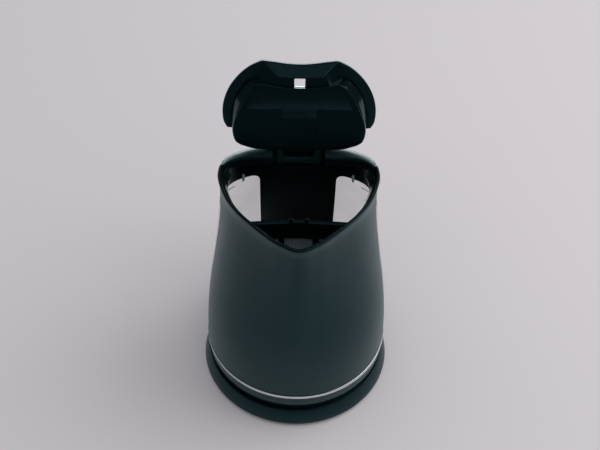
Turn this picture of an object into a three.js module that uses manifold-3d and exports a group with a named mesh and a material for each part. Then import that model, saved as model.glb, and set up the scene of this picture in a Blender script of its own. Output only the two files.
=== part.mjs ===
// An electric kettle on its power base, with a hinged lid held open.
// Millimetres, +Z up. The origin is the centre of the base's underside.
// The spout points to -Y and the handle to +Y. Everything is symmetric about X = 0
// apart from small fittings.
import * as THREE from "three";
import { mergeVertices } from "three/addons/utils/BufferGeometryUtils.js";
import Module from "manifold-3d";

const wasm = await Module();
wasm.setup();

// ---- Driving dimensions ----
const GAP = 0.3; // between pieces that touch on the real object
const WALL = 2.6; // of the vessel
const BASE_RADIUS = 80;
const BASE_TOP = 18.5;
const LAND_Z = 15.5; // the dished landing that the kettle stands on
const FOOT_DROP = 1.5; // the feet stand this far below the base's underside
const SKIRT_LOW = 22.5; // lower edge of the kettle's skirt
const RING_LOW = 33;
const RING_HIGH = 36.5;
const SHELL_LOW = RING_HIGH + GAP;
const RIM_Z = 203.5;
const TIP_DIP = 3.5; // the rim is this much lower at the tip of the spout
const TIP_Y = -59;
const DIP_END_Y = -22;
// Half-width of the body by height.
const BODY_PROFILE = [
  [SHELL_LOW, 75.75],
  [60, 75],
  [90, 72.7],
  [125, 68],
  [160, 63.6],
  [190, 61.55],
  [RIM_Z, 63.1],
];
// Radius of the rim's outline from the spout to the rear, one value every 15 degrees.
const RIM_RADII = [62.5, 57.9, 53.6, 52.1, 53.3, 56, 59.8, 65, 67, 61, 53.8, 50.5, 49.5];
const RIM_HALF_WIDTH = 63.1;
const BLEND_LOW = 55; // below this height the body is round
const SIDES = 48; // of the body's rings
const TURNED_SIDES = 40;

const POST_RADIUS = 16.4;
const POST_TOP = 28;
const CONNECTOR_BORE = 17.2;
const CONNECTOR_RADIUS = 24;
const CONNECTOR_TOP = 34;
const PLATE_SEAT_LOW = 45;

const WINDOW_X = 29.5; // inner edge of each window
const WINDOW_FRONT_Y = 8;
const WINDOW_LOW = 50;
const WINDOW_HIGH = 172;
const WINDOW_CORNER = 9;
const WINDOW_PROUD = 0.8;

const HINGE = { y: 41, z: 194.5 };
const OPEN_ANGLE = 108; // from closed; the lid is drawn open
const PIN_RADIUS = 1.3;
const BARREL_RADIUS = 2.7;
const KNUCKLE_RADIUS = 3.3;
const KNUCKLE_X = 12.4; // inner face of each hinge arm
const KNUCKLE_WIDTH = 5;
const ARM_START_Y = 31.1; // where the arms meet the closed lid
const POCKET_HALF_WIDTH = 20.5;
const POCKET_FLOOR = 190;
const CHEEK = 3; // thickness of the pocket's side walls and floor
const DECK_LOW = 194;
const DECK_TOP = 203.2;
const DECK_WALL = 2.4;

const LID_FLANGE_Z = 203.9;
const LID_FLOOR_Z = 191.5;
const LID_PLATE_Z = 194.5; // underside of the thin plate with the slot
const SLOT_HALF_WIDTH = 4.2;
const FILTER_Y = -20;
const FILTER_TOP = 187.3;

const FOOT_RADIUS = 8;
const FOOT_SPOTS = {
  front_left: [-44, -44],
  front_right: [44, -44],
  rear_left: [-44, 44],
  rear_right: [44, 44],
};
const SCREW_HEAD_RADIUS = 3;
const SCREW_SHANK_RADIUS = 1.4;
const SCREW_RECESS_RADIUS = 3.4;
const BASE_SCREW_CIRCLE = 34; // radius on which the base's screws sit
const COVER_SCREW_CIRCLE = 42; // and those of the kettle's bottom cover
const INLET_RADIUS = 3.2;

const HANDLE_HALF_WIDTH = 14;
const HANDLE_HALF_DEPTH = 10;
const HANDLE_WALL = 2.4;

// ---- Materials ----
function finish(color, roughness, metalness = 0) {
  return new THREE.MeshStandardMaterial({ color, roughness, metalness });
}
const SATIN_BLACK = finish(0x1a2628, 0.42);
const GLOSS_BLACK = finish(0x0b1214, 0.16);
const RUBBER = finish(0x151719, 0.85);
const SILVER = finish(0xb9bec2, 0.22, 1);
const STEEL = finish(0x9a9c9c, 0.3, 1);
const BRASS = finish(0xb08d48, 0.35, 1);
const CLEAR = finish(0xdfe6e8, 0.08);
const MESH_GREY = finish(0x7d8789, 0.6);
const INNER_GREY = finish(0x3b4042, 0.6);
const RED_LENS = finish(0xa0302a, 0.25);

const kettle = new THREE.Group();

// ---- Helpers ----
// A closed solid from any closed geometry, turned to face outwards.
function solid(geometry) {
  const bare = geometry.index ? geometry.toNonIndexed() : geometry.clone();
  bare.deleteAttribute("normal");
  bare.deleteAttribute("uv");
  const merged = mergeVertices(bare, 1e-4);
  const triVerts = new Uint32Array(merged.index.array);
  const vertProperties = merged.attributes.position.array;
  const made = new wasm.Manifold(new wasm.Mesh({ numProp: 3, vertProperties, triVerts }));
  if (made.volume() > 0) return made;
  triVerts.reverse();
  return new wasm.Manifold(new wasm.Mesh({ numProp: 3, vertProperties, triVerts }));
}

function add(name, body, material, parent = kettle) {
  const { vertProperties, triVerts } = body.getMesh();
  const geometry = new THREE.BufferGeometry();
  geometry.setAttribute("position", new THREE.BufferAttribute(vertProperties, 3));
  geometry.setIndex(new THREE.BufferAttribute(triVerts, 1));
  geometry.computeVertexNormals();
  const mesh = new THREE.Mesh(geometry, material);
  mesh.name = name;
  parent.add(mesh);
  return mesh;
}

// A ring or disc turned about the Z axis from [radius, z] points that close on themselves.
function turned(profile, segments = TURNED_SIDES) {
  const points = [...profile, profile[0]].map(([r, z]) => new THREE.Vector2(r, z));
  return solid(new THREE.LatheGeometry(points, segments).rotateX(Math.PI / 2));
}

// A plan outline of [x, y] points, extruded from one height to another.
function prism(outline, low, high) {
  const shape = new THREE.Shape(outline.map(([x, y]) => new THREE.Vector2(x, y)));
  const options = { depth: high - low, bevelEnabled: false, curveSegments: 8 };
  return solid(new THREE.ExtrudeGeometry(shape, options).translate(0, 0, low));
}

function box(x0, x1, y0, y1, z0, z1) {
  const geometry = new THREE.BoxGeometry(x1 - x0, y1 - y0, z1 - z0);
  return solid(geometry.translate((x0 + x1) / 2, (y0 + y1) / 2, (z0 + z1) / 2));
}

// A round bar of the given radius between two points.
function bar(from, to, radius, segments = 16) {
  const start = new THREE.Vector3(...from);
  const along = new THREE.Vector3(...to).sub(start);
  const geometry = new THREE.CylinderGeometry(radius, radius, along.length(), segments);
  const turn = new THREE.Quaternion().setFromUnitVectors(
    new THREE.Vector3(0, 1, 0),
    along.clone().normalize(),
  );
  geometry.applyQuaternion(turn);
  const middle = start.addScaledVector(along, 0.5);
  return solid(geometry.translate(middle.x, middle.y, middle.z));
}

// Places on a circle about the Z axis, at the given angles in degrees.
function spotsRound(radius, angles) {
  return angles.map((degrees) => {
    const angle = THREE.MathUtils.degToRad(degrees);
    return [radius * Math.cos(angle), radius * Math.sin(angle)];
  });
}

// An upright screw with its head at the bottom.
function screw([x, y], low, high) {
  const head = bar([x, y, low], [x, y, low + 2], SCREW_HEAD_RADIUS, 12);
  return head.add(bar([x, y, low + 1.8], [x, y, high], SCREW_SHANK_RADIUS, 8));
}

// A solid skinned over rings of Vector3 with equal counts, closed by its first and last ring.
function skin(rings) {
  const count = rings[0].length;
  const positions = rings.flat().flatMap((p) => [p.x, p.y, p.z]);
  const index = [];
  for (let ring = 0; ring + 1 < rings.length; ring++) {
    for (let i = 0; i < count; i++) {
      const a = ring * count + i;
      const b = ring * count + ((i + 1) % count);
      index.push(a, b, b + count, a, b + count, a + count);
    }
  }
  closeEnd(rings[0], 0, true, index);
  closeEnd(rings.at(-1), (rings.length - 1) * count, false, index);
  const geometry = new THREE.BufferGeometry();
  geometry.setAttribute("position", new THREE.Float32BufferAttribute(positions, 3));
  geometry.setIndex(index);
  return solid(geometry);
}

// Triangles over one end ring, seen in its own plane, facing back or ahead along the skin.
function closeEnd(ring, offset, back, index) {
  const centre = ring.reduce((sum, p) => sum.add(p), new THREE.Vector3()).divideScalar(ring.length);
  const normal = new THREE.Vector3();
  ring.forEach((p, i) => {
    const q = ring[(i + 1) % ring.length];
    normal.add(p.clone().sub(centre).cross(q.clone().sub(centre)));
  });
  normal.normalize();
  const across = ring[0].clone().sub(centre);
  across.addScaledVector(normal, -across.dot(normal)).normalize();
  const up = normal.clone().cross(across);
  const flat = ring.map((p) => {
    const d = p.clone().sub(centre);
    return new THREE.Vector2(d.dot(across), d.dot(up));
  });
  for (const [a, b, c] of THREE.ShapeUtils.triangulateShape(flat, [])) {
    if (back) index.push(offset + c, offset + b, offset + a);
    else index.push(offset + a, offset + b, offset + c);
  }
}

function smoothstep(x, low, high) {
  const t = THREE.MathUtils.clamp((x - low) / (high - low), 0, 1);
  return t * t * (3 - 2 * t);
}

function catmullRom(p0, p1, p2, p3, t) {
  const a = 2 * p1;
  const b = p2 - p0;
  const c = 2 * p0 - 5 * p1 + 4 * p2 - p3;
  const d = 3 * p1 - p0 - 3 * p2 + p3;
  return (a + b * t + c * t * t + d * t * t * t) / 2;
}

// Mirrors the right half of a plan outline, listed front to rear, to a whole one.
function bothSides(half) {
  const left = half.filter(([x]) => x > 0).map(([x, y]) => [-x, y]);
  return [...half, ...left.reverse()];
}

// ---- The body's form ----
// phi runs from the spout (0) to the rear (pi).
function rimRadius(phi) {
  const last = RIM_RADII.length - 1;
  const at = (phi / Math.PI) * last;
  const i = Math.min(Math.floor(at), last - 1);
  const value = (k) => RIM_RADII[k < 0 ? -k : k > last ? 2 * last - k : k];
  return catmullRom(value(i - 1), value(i), value(i + 1), value(i + 2), at - i);
}

function halfWidth(z) {
  const last = BODY_PROFILE.length - 1;
  const clamped = THREE.MathUtils.clamp(z, BODY_PROFILE[0][0], BODY_PROFILE[last][0]);
  let i = 0;
  while (i < last - 1 && clamped > BODY_PROFILE[i + 1][0]) i++;
  const t = (clamped - BODY_PROFILE[i][0]) / (BODY_PROFILE[i + 1][0] - BODY_PROFILE[i][0]);
  const value = (k) => BODY_PROFILE[THREE.MathUtils.clamp(k, 0, last)][1];
  return catmullRom(value(i - 1), value(i), value(i + 1), value(i + 2), t);
}

function bodyRadius(phi, z) {
  const blend = smoothstep(z, BLEND_LOW, RIM_Z);
  const triangle = rimRadius(phi) / RIM_HALF_WIDTH;
  return halfWidth(z) * (1 - blend + blend * triangle);
}

function rimHeight(y) {
  return RIM_Z - TIP_DIP * (1 - smoothstep(y, TIP_Y, DIP_END_Y));
}

// One ring round the body at height z, offset outwards.
function bodyRing(z, offset, alongRim = false) {
  const ring = [];
  for (let i = 0; i < SIDES; i++) {
    const turn = (i / SIDES) * 2 * Math.PI;
    const phi = turn > Math.PI ? 2 * Math.PI - turn : turn;
    const radius = bodyRadius(phi, z) + offset;
    const x = radius * Math.sin(turn);
    const y = -radius * Math.cos(turn);
    ring.push(new THREE.Vector3(x, y, alongRim ? rimHeight(y) : z));
  }
  return ring;
}

// The body's form as a filled solid, from low to high, offset outwards.
const LOFT_LEVELS = [60, 82, 105, 130, 155, 180, 193];
function bodyForm(low, high, offset) {
  const levels = [low, ...LOFT_LEVELS.filter((z) => z > low + 1 && z < high - 1), high];
  return skin(levels.map((z) => bodyRing(z, offset, z === RIM_Z)));
}

function windowCutter(side, grow) {
  const low = WINDOW_LOW - grow;
  const high = WINDOW_HIGH + grow;
  const near = WINDOW_X - grow;
  const corner = WINDOW_CORNER + grow;
  const shape = new THREE.Shape();
  shape.moveTo(90, low);
  shape.lineTo(90, high);
  shape.lineTo(near + corner, high);
  shape.absarc(near + corner, high - corner, corner, Math.PI / 2, Math.PI);
  shape.lineTo(near, low + corner);
  shape.absarc(near + corner, low + corner, corner, Math.PI, 1.5 * Math.PI);
  const depth = BASE_RADIUS - WINDOW_FRONT_Y + grow;
  const geometry = new THREE.ExtrudeGeometry(shape, { depth, bevelEnabled: false, curveSegments: 5 });
  // The shape is drawn in X and Z: stand it up, with its depth running towards +Y.
  geometry.rotateX(Math.PI / 2);
  geometry.translate(0, BASE_RADIUS, 0);
  const right = solid(geometry);
  return side > 0 ? right : right.mirror([1, 0, 0]);
}

// ---- Power base ----
function makeBase() {
  const cover = [
    [79.3, 0.8],
    [BASE_RADIUS, 2.6],
    [78.8, 7.5],
    [76.4, 13.4],
    [74, 17.2],
    [71.5, BASE_TOP],
    [69.2, 18],
    [66.5, LAND_Z],
    [21.5, LAND_Z],
    [20.8, 17],
    [18, 17],
    [18, 13.2],
    [66, 13.2],
    [71, 15.8],
    [74.8, 9],
    [77.2, 0.8],
  ];
  const inletHole = box(-7.5, 7.5, 70, 90, -1, 9.3);
  add("base_cover", turned(cover).subtract(inletHole), SATIN_BLACK);

  let plate = turned([
    [0, 0],
    [75.6, 0],
    [76.2, 0.7],
    [76.2, 2.4],
    [0, 2.4],
  ]);
  for (const [x, y] of Object.values(FOOT_SPOTS)) {
    plate = plate.subtract(bar([x, y, -1], [x, y, 1.2], FOOT_RADIUS + GAP, 24));
  }
  const screwSpots = spotsRound(BASE_SCREW_CIRCLE, [90, 210, 330]);
  for (const [x, y] of screwSpots) plate = plate.subtract(bar([x, y, -1], [x, y, 4], SCREW_RECESS_RADIUS));
  plate = plate.subtract(box(-7.5, 7.5, 70, 90, -1, 9.3));
  add("base_bottom", plate, SATIN_BLACK);

  for (const [place, [x, y]] of Object.entries(FOOT_SPOTS)) {
    add(`foot_${place}`, bar([x, y, -FOOT_DROP], [x, y, 0.9], FOOT_RADIUS, 24), RUBBER);
  }
  screwSpots.forEach((spot, i) => add(`base_screw_${i + 1}`, screw(spot, 0.4, 11.5), STEEL));

  const post = [
    [0, 2.7],
    [24, 2.7],
    [24, 12.9],
    [POST_RADIUS, 12.9],
    [POST_RADIUS, POST_TOP - 1],
    [POST_RADIUS - 1, POST_TOP],
    [12.5, POST_TOP],
    [12.5, 20],
    [10.5, 20],
    [10.5, POST_TOP],
    [3.2, POST_TOP],
    [3.2, 14],
    [0, 14],
  ];
  add("base_connector", turned(post, 36), GLOSS_BLACK);
  const contactRing = [
    [10.8, 20.3],
    [12.2, 20.3],
    [12.2, 20.8],
    [10.8, 20.8],
  ];
  add("base_contact_ring", turned(contactRing, 24), BRASS);
  add("base_contact_pin", bar([0, 0, 14.3], [0, 0, 14.9], 2.9, 12), BRASS);

  const inlet = box(-7.2, 7.2, 70.3, 78.5, 0.6, 9);
  const inletBore = bar([0, 60, 4.6], [0, 90, 4.6], INLET_RADIUS, 14);
  add("base_cord_inlet", inlet.subtract(inletBore), RUBBER);
}

// ---- Round connector under the kettle ----
function makeConnector() {
  const housing = [
    [0, CONNECTOR_TOP],
    [0, 32.3],
    [2.5, 32.3],
    [2.5, 28.6],
    [10.7, 28.6],
    [10.7, 32.3],
    [12.3, 32.3],
    [12.3, 28.6],
    [CONNECTOR_BORE, 28.6],
    [CONNECTOR_BORE, 19],
    [CONNECTOR_RADIUS, 19],
    [CONNECTOR_RADIUS, CONNECTOR_TOP],
  ];
  add("kettle_connector", turned(housing, 36), GLOSS_BLACK);
  const ring = [
    [11, 21.1],
    [12, 21.1],
    [12, 32],
    [11, 32],
  ];
  add("connector_ring", turned(ring, 24), BRASS);
  add("connector_pin", bar([0, 0, 15.2], [0, 0, 32], 2.2, 12), BRASS);
}

// ---- Vessel ----
function makeVessel() {
  let shell = bodyForm(SHELL_LOW, RIM_Z, 0);
  shell = shell.subtract(bodyForm(SHELL_LOW - 5, RIM_Z + 8, -WALL));
  const seat = turned([
    [64, PLATE_SEAT_LOW],
    [74, PLATE_SEAT_LOW],
    [74, PLATE_SEAT_LOW + 3],
    [64.5, PLATE_SEAT_LOW + 2],
  ]);
  shell = shell.add(seat);
  for (const side of [-1, 1]) shell = shell.subtract(windowCutter(side, 0));
  add("body_shell", shell, SATIN_BLACK);

  const pane = bodyForm(SHELL_LOW, RIM_Z, WINDOW_PROUD).subtract(
    bodyForm(SHELL_LOW - 5, RIM_Z + 8, -WALL + 0.4),
  );
  add("window_left", pane.intersect(windowCutter(-1, -GAP)), CLEAR);
  add("window_right", pane.intersect(windowCutter(1, -GAP)), CLEAR);

  const ring = [
    [73.1, RING_LOW],
    [75.9, RING_LOW],
    [76.2, RING_LOW + 0.4],
    [76.2, RING_HIGH - 0.4],
    [75.9, RING_HIGH],
    [73.1, RING_HIGH],
  ];
  add("trim_ring", turned(ring), SILVER);

  let cover = turned([
    [75, SKIRT_LOW],
    [75.4, SKIRT_LOW + 0.8],
    [75.9, RING_LOW - GAP],
    [72.2, RING_LOW - GAP],
    [72.2, 44],
    [70.2, 44],
    [70.2, 25.5],
    [24.6, 25.5],
    [24.6, 23],
    [56, 23],
    [56, LAND_Z + GAP],
    [59.5, LAND_Z + GAP],
    [59.5, 23],
    [72.5, 23],
    [73, SKIRT_LOW],
  ]);
  const screwSpots = spotsRound(COVER_SCREW_CIRCLE, [30, 150, 270]);
  for (const [x, y] of screwSpots) cover = cover.subtract(bar([x, y, 20], [x, y, 30], SCREW_RECESS_RADIUS));
  add("bottom_cover", cover, SATIN_BLACK);
  screwSpots.forEach((spot, i) => add(`cover_screw_${i + 1}`, screw(spot, 23.4, 34.5), STEEL));
}

function makeHeater() {
  const plate = [
    [0, 44],
    [60, 44],
    [63, 42.5],
    [68.5, 42.5],
    [68.5, 41.3],
    [62.2, 41.3],
    [59.4, 42.8],
    [0, 42.8],
  ];
  add("heating_plate", turned(plate), STEEL);
  const seal = [
    [64.3, 42.8],
    [68.5, 42.8],
    [68.5, PLATE_SEAT_LOW - GAP],
    [64.3, PLATE_SEAT_LOW - GAP],
  ];
  add("plate_seal", turned(seal), MESH_GREY);

  const radius = 46;
  const halfOpening = 0.45;
  const points = [];
  for (let i = 0; i <= 30; i++) {
    const angle = Math.PI / 2 + halfOpening + (i / 30) * (2 * Math.PI - 2 * halfOpening);
    points.push(new THREE.Vector3(radius * Math.cos(angle), radius * Math.sin(angle), 39));
  }
  const section = new THREE.Shape().absarc(0, 0, 3.2, 0, 2 * Math.PI);
  const element = new THREE.ExtrudeGeometry(section, {
    steps: 30,
    curveSegments: 2,
    bevelEnabled: false,
    extrudePath: new THREE.CatmullRomCurve3(points),
  });
  add("heating_element", solid(element), STEEL);

  const control = box(-24, 24, -18, 18, CONNECTOR_TOP + GAP, 42.4);
  add("thermostat_control", control, INNER_GREY);
}

// ---- Rim, deck and filter ----
function makeCollar() {
  const outer = bodyForm(170, RIM_Z + 8, -WALL - GAP);
  const inner = bodyForm(169, RIM_Z + 9, -WALL - GAP - 2);
  const band = box(-90, 90, -90, 27, 188, 198);
  add("rim_collar", outer.subtract(inner).intersect(band), GLOSS_BLACK);
}

// The deck's front edge, straight in the middle and swept forwards at its ends.
const DECK_FRONT_Y = 34.6;
const DECK_SWEEP_X = 30;
function deckOutline(inset) {
  const outline = [];
  for (let i = -10; i <= 10; i++) {
    const x = i * 6.5;
    const past = Math.max(0, Math.abs(x) - DECK_SWEEP_X) / 29;
    outline.push([x, DECK_FRONT_Y - 8.3 * past ** 3 + inset]);
  }
  return [...outline, [72, 80], [-72, 80]];
}

function makeDeck() {
  const inside = bodyForm(170, RIM_Z + 8, -WALL - GAP);
  let deck = inside.intersect(prism(deckOutline(0), DECK_LOW, DECK_TOP));
  const hollowForm = bodyForm(169, RIM_Z + 9, -WALL - GAP - DECK_WALL);
  const hollow = prism(deckOutline(DECK_WALL), DECK_LOW - 5, DECK_TOP - DECK_WALL);
  deck = deck.subtract(hollowForm.intersect(hollow));
  const reach = POCKET_HALF_WIDTH + CHEEK;
  const block = box(-reach, reach, DECK_FRONT_Y, 80, POCKET_FLOOR - CHEEK, DECK_TOP);
  deck = deck.add(block.intersect(inside));
  deck = deck.subtract(box(-POCKET_HALF_WIDTH, POCKET_HALF_WIDTH, 0, 60, POCKET_FLOOR, 215));
  deck = deck.subtract(bar([-30, HINGE.y, HINGE.z], [30, HINGE.y, HINGE.z], PIN_RADIUS + GAP, 14));
  add("rear_deck", deck, GLOSS_BLACK);
  const pinHalf = POCKET_HALF_WIDTH + 2.8;
  const pin = bar([-pinHalf, HINGE.y, HINGE.z], [pinHalf, HINGE.y, HINGE.z], PIN_RADIUS, 14);
  add("hinge_pin", pin, STEEL);
}

// The filter is a shallow arc across the spout channel, bulging to the rear.
function filterOutline(front, rear) {
  const edge = (offset) => {
    const points = [];
    for (let i = -6; i <= 6; i++) points.push([i * 9, FILTER_Y - 2.2 * ((i * 9) / 40) ** 2 + offset]);
    return points;
  };
  return [...edge(front), ...edge(rear).reverse()];
}

const PANE_EDGES = { left: [-27.5, -15.5], centre: [-11.2, 11.2], right: [15.5, 27.5] };
const PANE_LOW = 143;
const PANE_HIGH = 170;
function makeFilter() {
  const inside = bodyForm(SHELL_LOW, RIM_Z + 8, -WALL - GAP - 0.2);
  let frame = inside.intersect(prism(filterOutline(-1.2, 1.2), PANE_LOW - 6, FILTER_TOP));
  const barPart = prism(filterOutline(-1.9, 2.4), PANE_HIGH + 2, FILTER_TOP);
  frame = frame.add(barPart.intersect(bodyForm(SHELL_LOW, RIM_Z + 8, -WALL - GAP - 2.6)));
  for (const [x0, x1] of Object.values(PANE_EDGES)) {
    frame = frame.subtract(box(x0, x1, -60, 0, PANE_LOW, PANE_HIGH));
  }
  const catchPlate = box(-7.5, 7.5, FILTER_Y - 1.8, FILTER_Y - 0.2, FILTER_TOP - 1, FILTER_TOP + 6);
  const catchNotch = box(-4.6, 4.6, -30, 0, FILTER_TOP + 1.6, FILTER_TOP + 10);
  frame = frame.add(catchPlate.subtract(catchNotch));
  add("filter_frame", frame, GLOSS_BLACK);
  for (const [place, [x0, x1]] of Object.entries(PANE_EDGES)) {
    const cell = box(x0 + GAP, x1 - GAP, -60, 0, PANE_LOW + GAP, PANE_HIGH - GAP);
    const sheet = prism(filterOutline(-0.4, 0.4), PANE_LOW, PANE_HIGH);
    add(`filter_mesh_${place}`, sheet.intersect(cell), MESH_GREY);
  }
}

// ---- Handle ----
// Centre line of the handle in Y and Z, from the rear deck down to the lower body.
const HANDLE_LINE = [
  [42, 190.5],
  [62, 190.5],
  [84, 188],
  [99, 178],
  [106, 160],
  [107, 135],
  [106, 108],
  [102, 84],
  [94, 66],
  [80, 55],
  [66, 51],
];
const handleCurve = new THREE.CatmullRomCurve3(
  HANDLE_LINE.map(([y, z]) => new THREE.Vector3(0, y, z)),
);

// A point of the handle: t along its line, u across it and v outwards from the body.
function handlePoint(t, u, v) {
  const place = handleCurve.getPointAt(t);
  const tangent = handleCurve.getTangentAt(t);
  const outward = new THREE.Vector3(0, -tangent.z, tangent.y);
  return place.addScaledVector(outward, v).add(new THREE.Vector3(u, 0, 0));
}

// One half of the handle's section, a C with rounded corners: side is 1 outside, -1 inside.
function handleSection(side) {
  const steps = 6;
  const curve = (width, depth) => {
    const points = [];
    for (let i = 0; i <= steps; i++) {
      const angle = (i / steps) * Math.PI;
      const u = Math.sign(Math.cos(angle)) * width * Math.abs(Math.cos(angle)) ** 0.75;
      points.push([u, side * (0.15 + depth * Math.sin(angle) ** 0.75)]);
    }
    return points;
  };
  const outer = curve(HANDLE_HALF_WIDTH, HANDLE_HALF_DEPTH);
  const inner = curve(HANDLE_HALF_WIDTH - HANDLE_WALL, HANDLE_HALF_DEPTH - HANDLE_WALL);
  return [...outer, ...inner.reverse()];
}

function handleHalf(side) {
  const steps = 20;
  const rings = [];
  for (let i = 0; i <= steps; i++) {
    rings.push(handleSection(side).map(([u, v]) => handlePoint(i / steps, u, v)));
  }
  return skin(rings).subtract(bodyForm(SHELL_LOW - 5, RIM_Z, WINDOW_PROUD + GAP));
}

const SWITCH_T = 0.735;
const SWITCH_PIVOT = handlePoint(SWITCH_T, 0, 3.6);
const SWITCH_REST = THREE.MathUtils.degToRad(-7);
const LENS_T = 0.6;
function makeHandle() {
  let shell = handleHalf(1);
  let grip = handleHalf(-1);
  const slotDepth = box(-6.3, 6.3, -5.2, 5.2, 0, 20);
  shell = shell.subtract(slotDepth.transform(handleFrame(SWITCH_T)));
  const from = handlePoint(LENS_T, 0, 4);
  const to = handlePoint(LENS_T, 0, 16);
  shell = shell.subtract(bar(from.toArray(), to.toArray(), 2.6, 14));
  const lensFrom = handlePoint(LENS_T, 0, HANDLE_HALF_DEPTH - 2.6);
  const lensTo = handlePoint(LENS_T, 0, HANDLE_HALF_DEPTH + 0.5);
  add("indicator_lens", bar(lensFrom.toArray(), lensTo.toArray(), 2.3, 14), RED_LENS);

  for (const [place, t] of [
    ["top", 0.2],
    ["bottom", 0.82],
  ]) {
    const at = (v) => handlePoint(t, 0, v).toArray();
    grip = grip.subtract(bar(at(-14), at(-3), SCREW_RECESS_RADIUS));
    const head = bar(at(-HANDLE_HALF_DEPTH + 0.6), at(-HANDLE_HALF_DEPTH + 2.6), SCREW_HEAD_RADIUS);
    add(`handle_screw_${place}`, head.add(bar(at(-8), at(5.5), SCREW_SHANK_RADIUS, 10)), STEEL);
  }
  add("handle_shell", shell, SATIN_BLACK);
  add("handle_grip", grip, RUBBER);

  const tubePoints = [];
  for (let i = 0; i <= 8; i++) tubePoints.push(handlePoint(0.16 + i * 0.055, -7, 0));
  const tube = new THREE.ExtrudeGeometry(new THREE.Shape().absarc(0, 0, 2.6, 0, 2 * Math.PI), {
    steps: 12,
    curveSegments: 2,
    bevelEnabled: false,
    extrudePath: new THREE.CatmullRomCurve3(tubePoints),
  });
  add("steam_tube", solid(tube), MESH_GREY);
  const sensor = box(-9.5, -4.5, -6, 6, -4, 4).transform(handleFrame(0.655));
  add("steam_sensor", sensor, INNER_GREY);
}

// The frame of the handle at t as the 16 numbers of a matrix: X across, Y along, Z outwards.
function handleFrame(t) {
  const place = handlePoint(t, 0, 0);
  const along = handleCurve.getTangentAt(t).negate();
  const outward = handlePoint(t, 0, 1).sub(place);
  const across = along.clone().cross(outward);
  return new THREE.Matrix4().makeBasis(across, along, outward).setPosition(place).elements;
}

function makeSwitch() {
  const pivot = bar([-5.6, 0, 0], [5.6, 0, 0], 2.2, 14);
  const paddle = prism(
    [
      [-5.6, -1.4],
      [5.6, -1.4],
      [5.6, 1.4],
      [-5.6, 1.4],
    ],
    0,
    8,
  );
  const tip = prism(
    [
      [-5.6, -2.4],
      [5.6, -2.4],
      [5.6, 2.4],
      [-5.6, 2.4],
    ],
    7.6,
    12.6,
  );
  const rest = new THREE.Matrix4().makeRotationX(SWITCH_REST);
  const place = new THREE.Matrix4().fromArray(handleFrame(SWITCH_T)).setPosition(SWITCH_PIVOT);
  const lever = pivot.add(paddle).add(tip);
  add("switch_lever", lever.transform(place.multiply(rest).elements), GLOSS_BLACK);
}

// ---- Lid, drawn closed and then swung open about its hinge ----
const FLANGE_HALF = [
  [0, -35],
  [10, -35.6],
  [20, -37],
  [29.4, -38.1],
  [37.9, -33.7],
  [46, -27.1],
  [53.8, -17.2],
  [58.3, -7.2],
  [60.1, 2.9],
  [59.2, 13.1],
  [56.6, 17.8],
  [53, 18.2],
  [0, 18.2],
];
const BOX_HALF = [
  [0, -20.1],
  [12, -20.6],
  [24, -22.6],
  [33, -24.6],
  [38.5, -22.8],
  [42.9, -18.6],
  [48.5, -10.6],
  [51.6, -2],
  [53.2, 7],
  [53, 15],
  [51, 22],
  [46, 25.5],
  [34, 28.4],
  [18, 30],
  [0, 30.5],
];
const LIP_LOW_HALF = [
  [0, -27.8],
  [17.6, -28.8],
  [24, -21],
  [0, -18],
];
const LIP_HIGH_HALF = [
  [0, -34.4],
  [28.6, -37.3],
  [34, -21],
  [0, -18],
];

// A ring of a plan outline at height z, scaled about a point on the centre line.
function lidRing(half, z, scale = 1, lean = 0) {
  const centreY = -4;
  return bothSides(half).map(([x, y]) => {
    const py = centreY + (y - centreY) * scale;
    return new THREE.Vector3(x * scale, py > 17 ? py - lean : py, z);
  });
}

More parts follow.
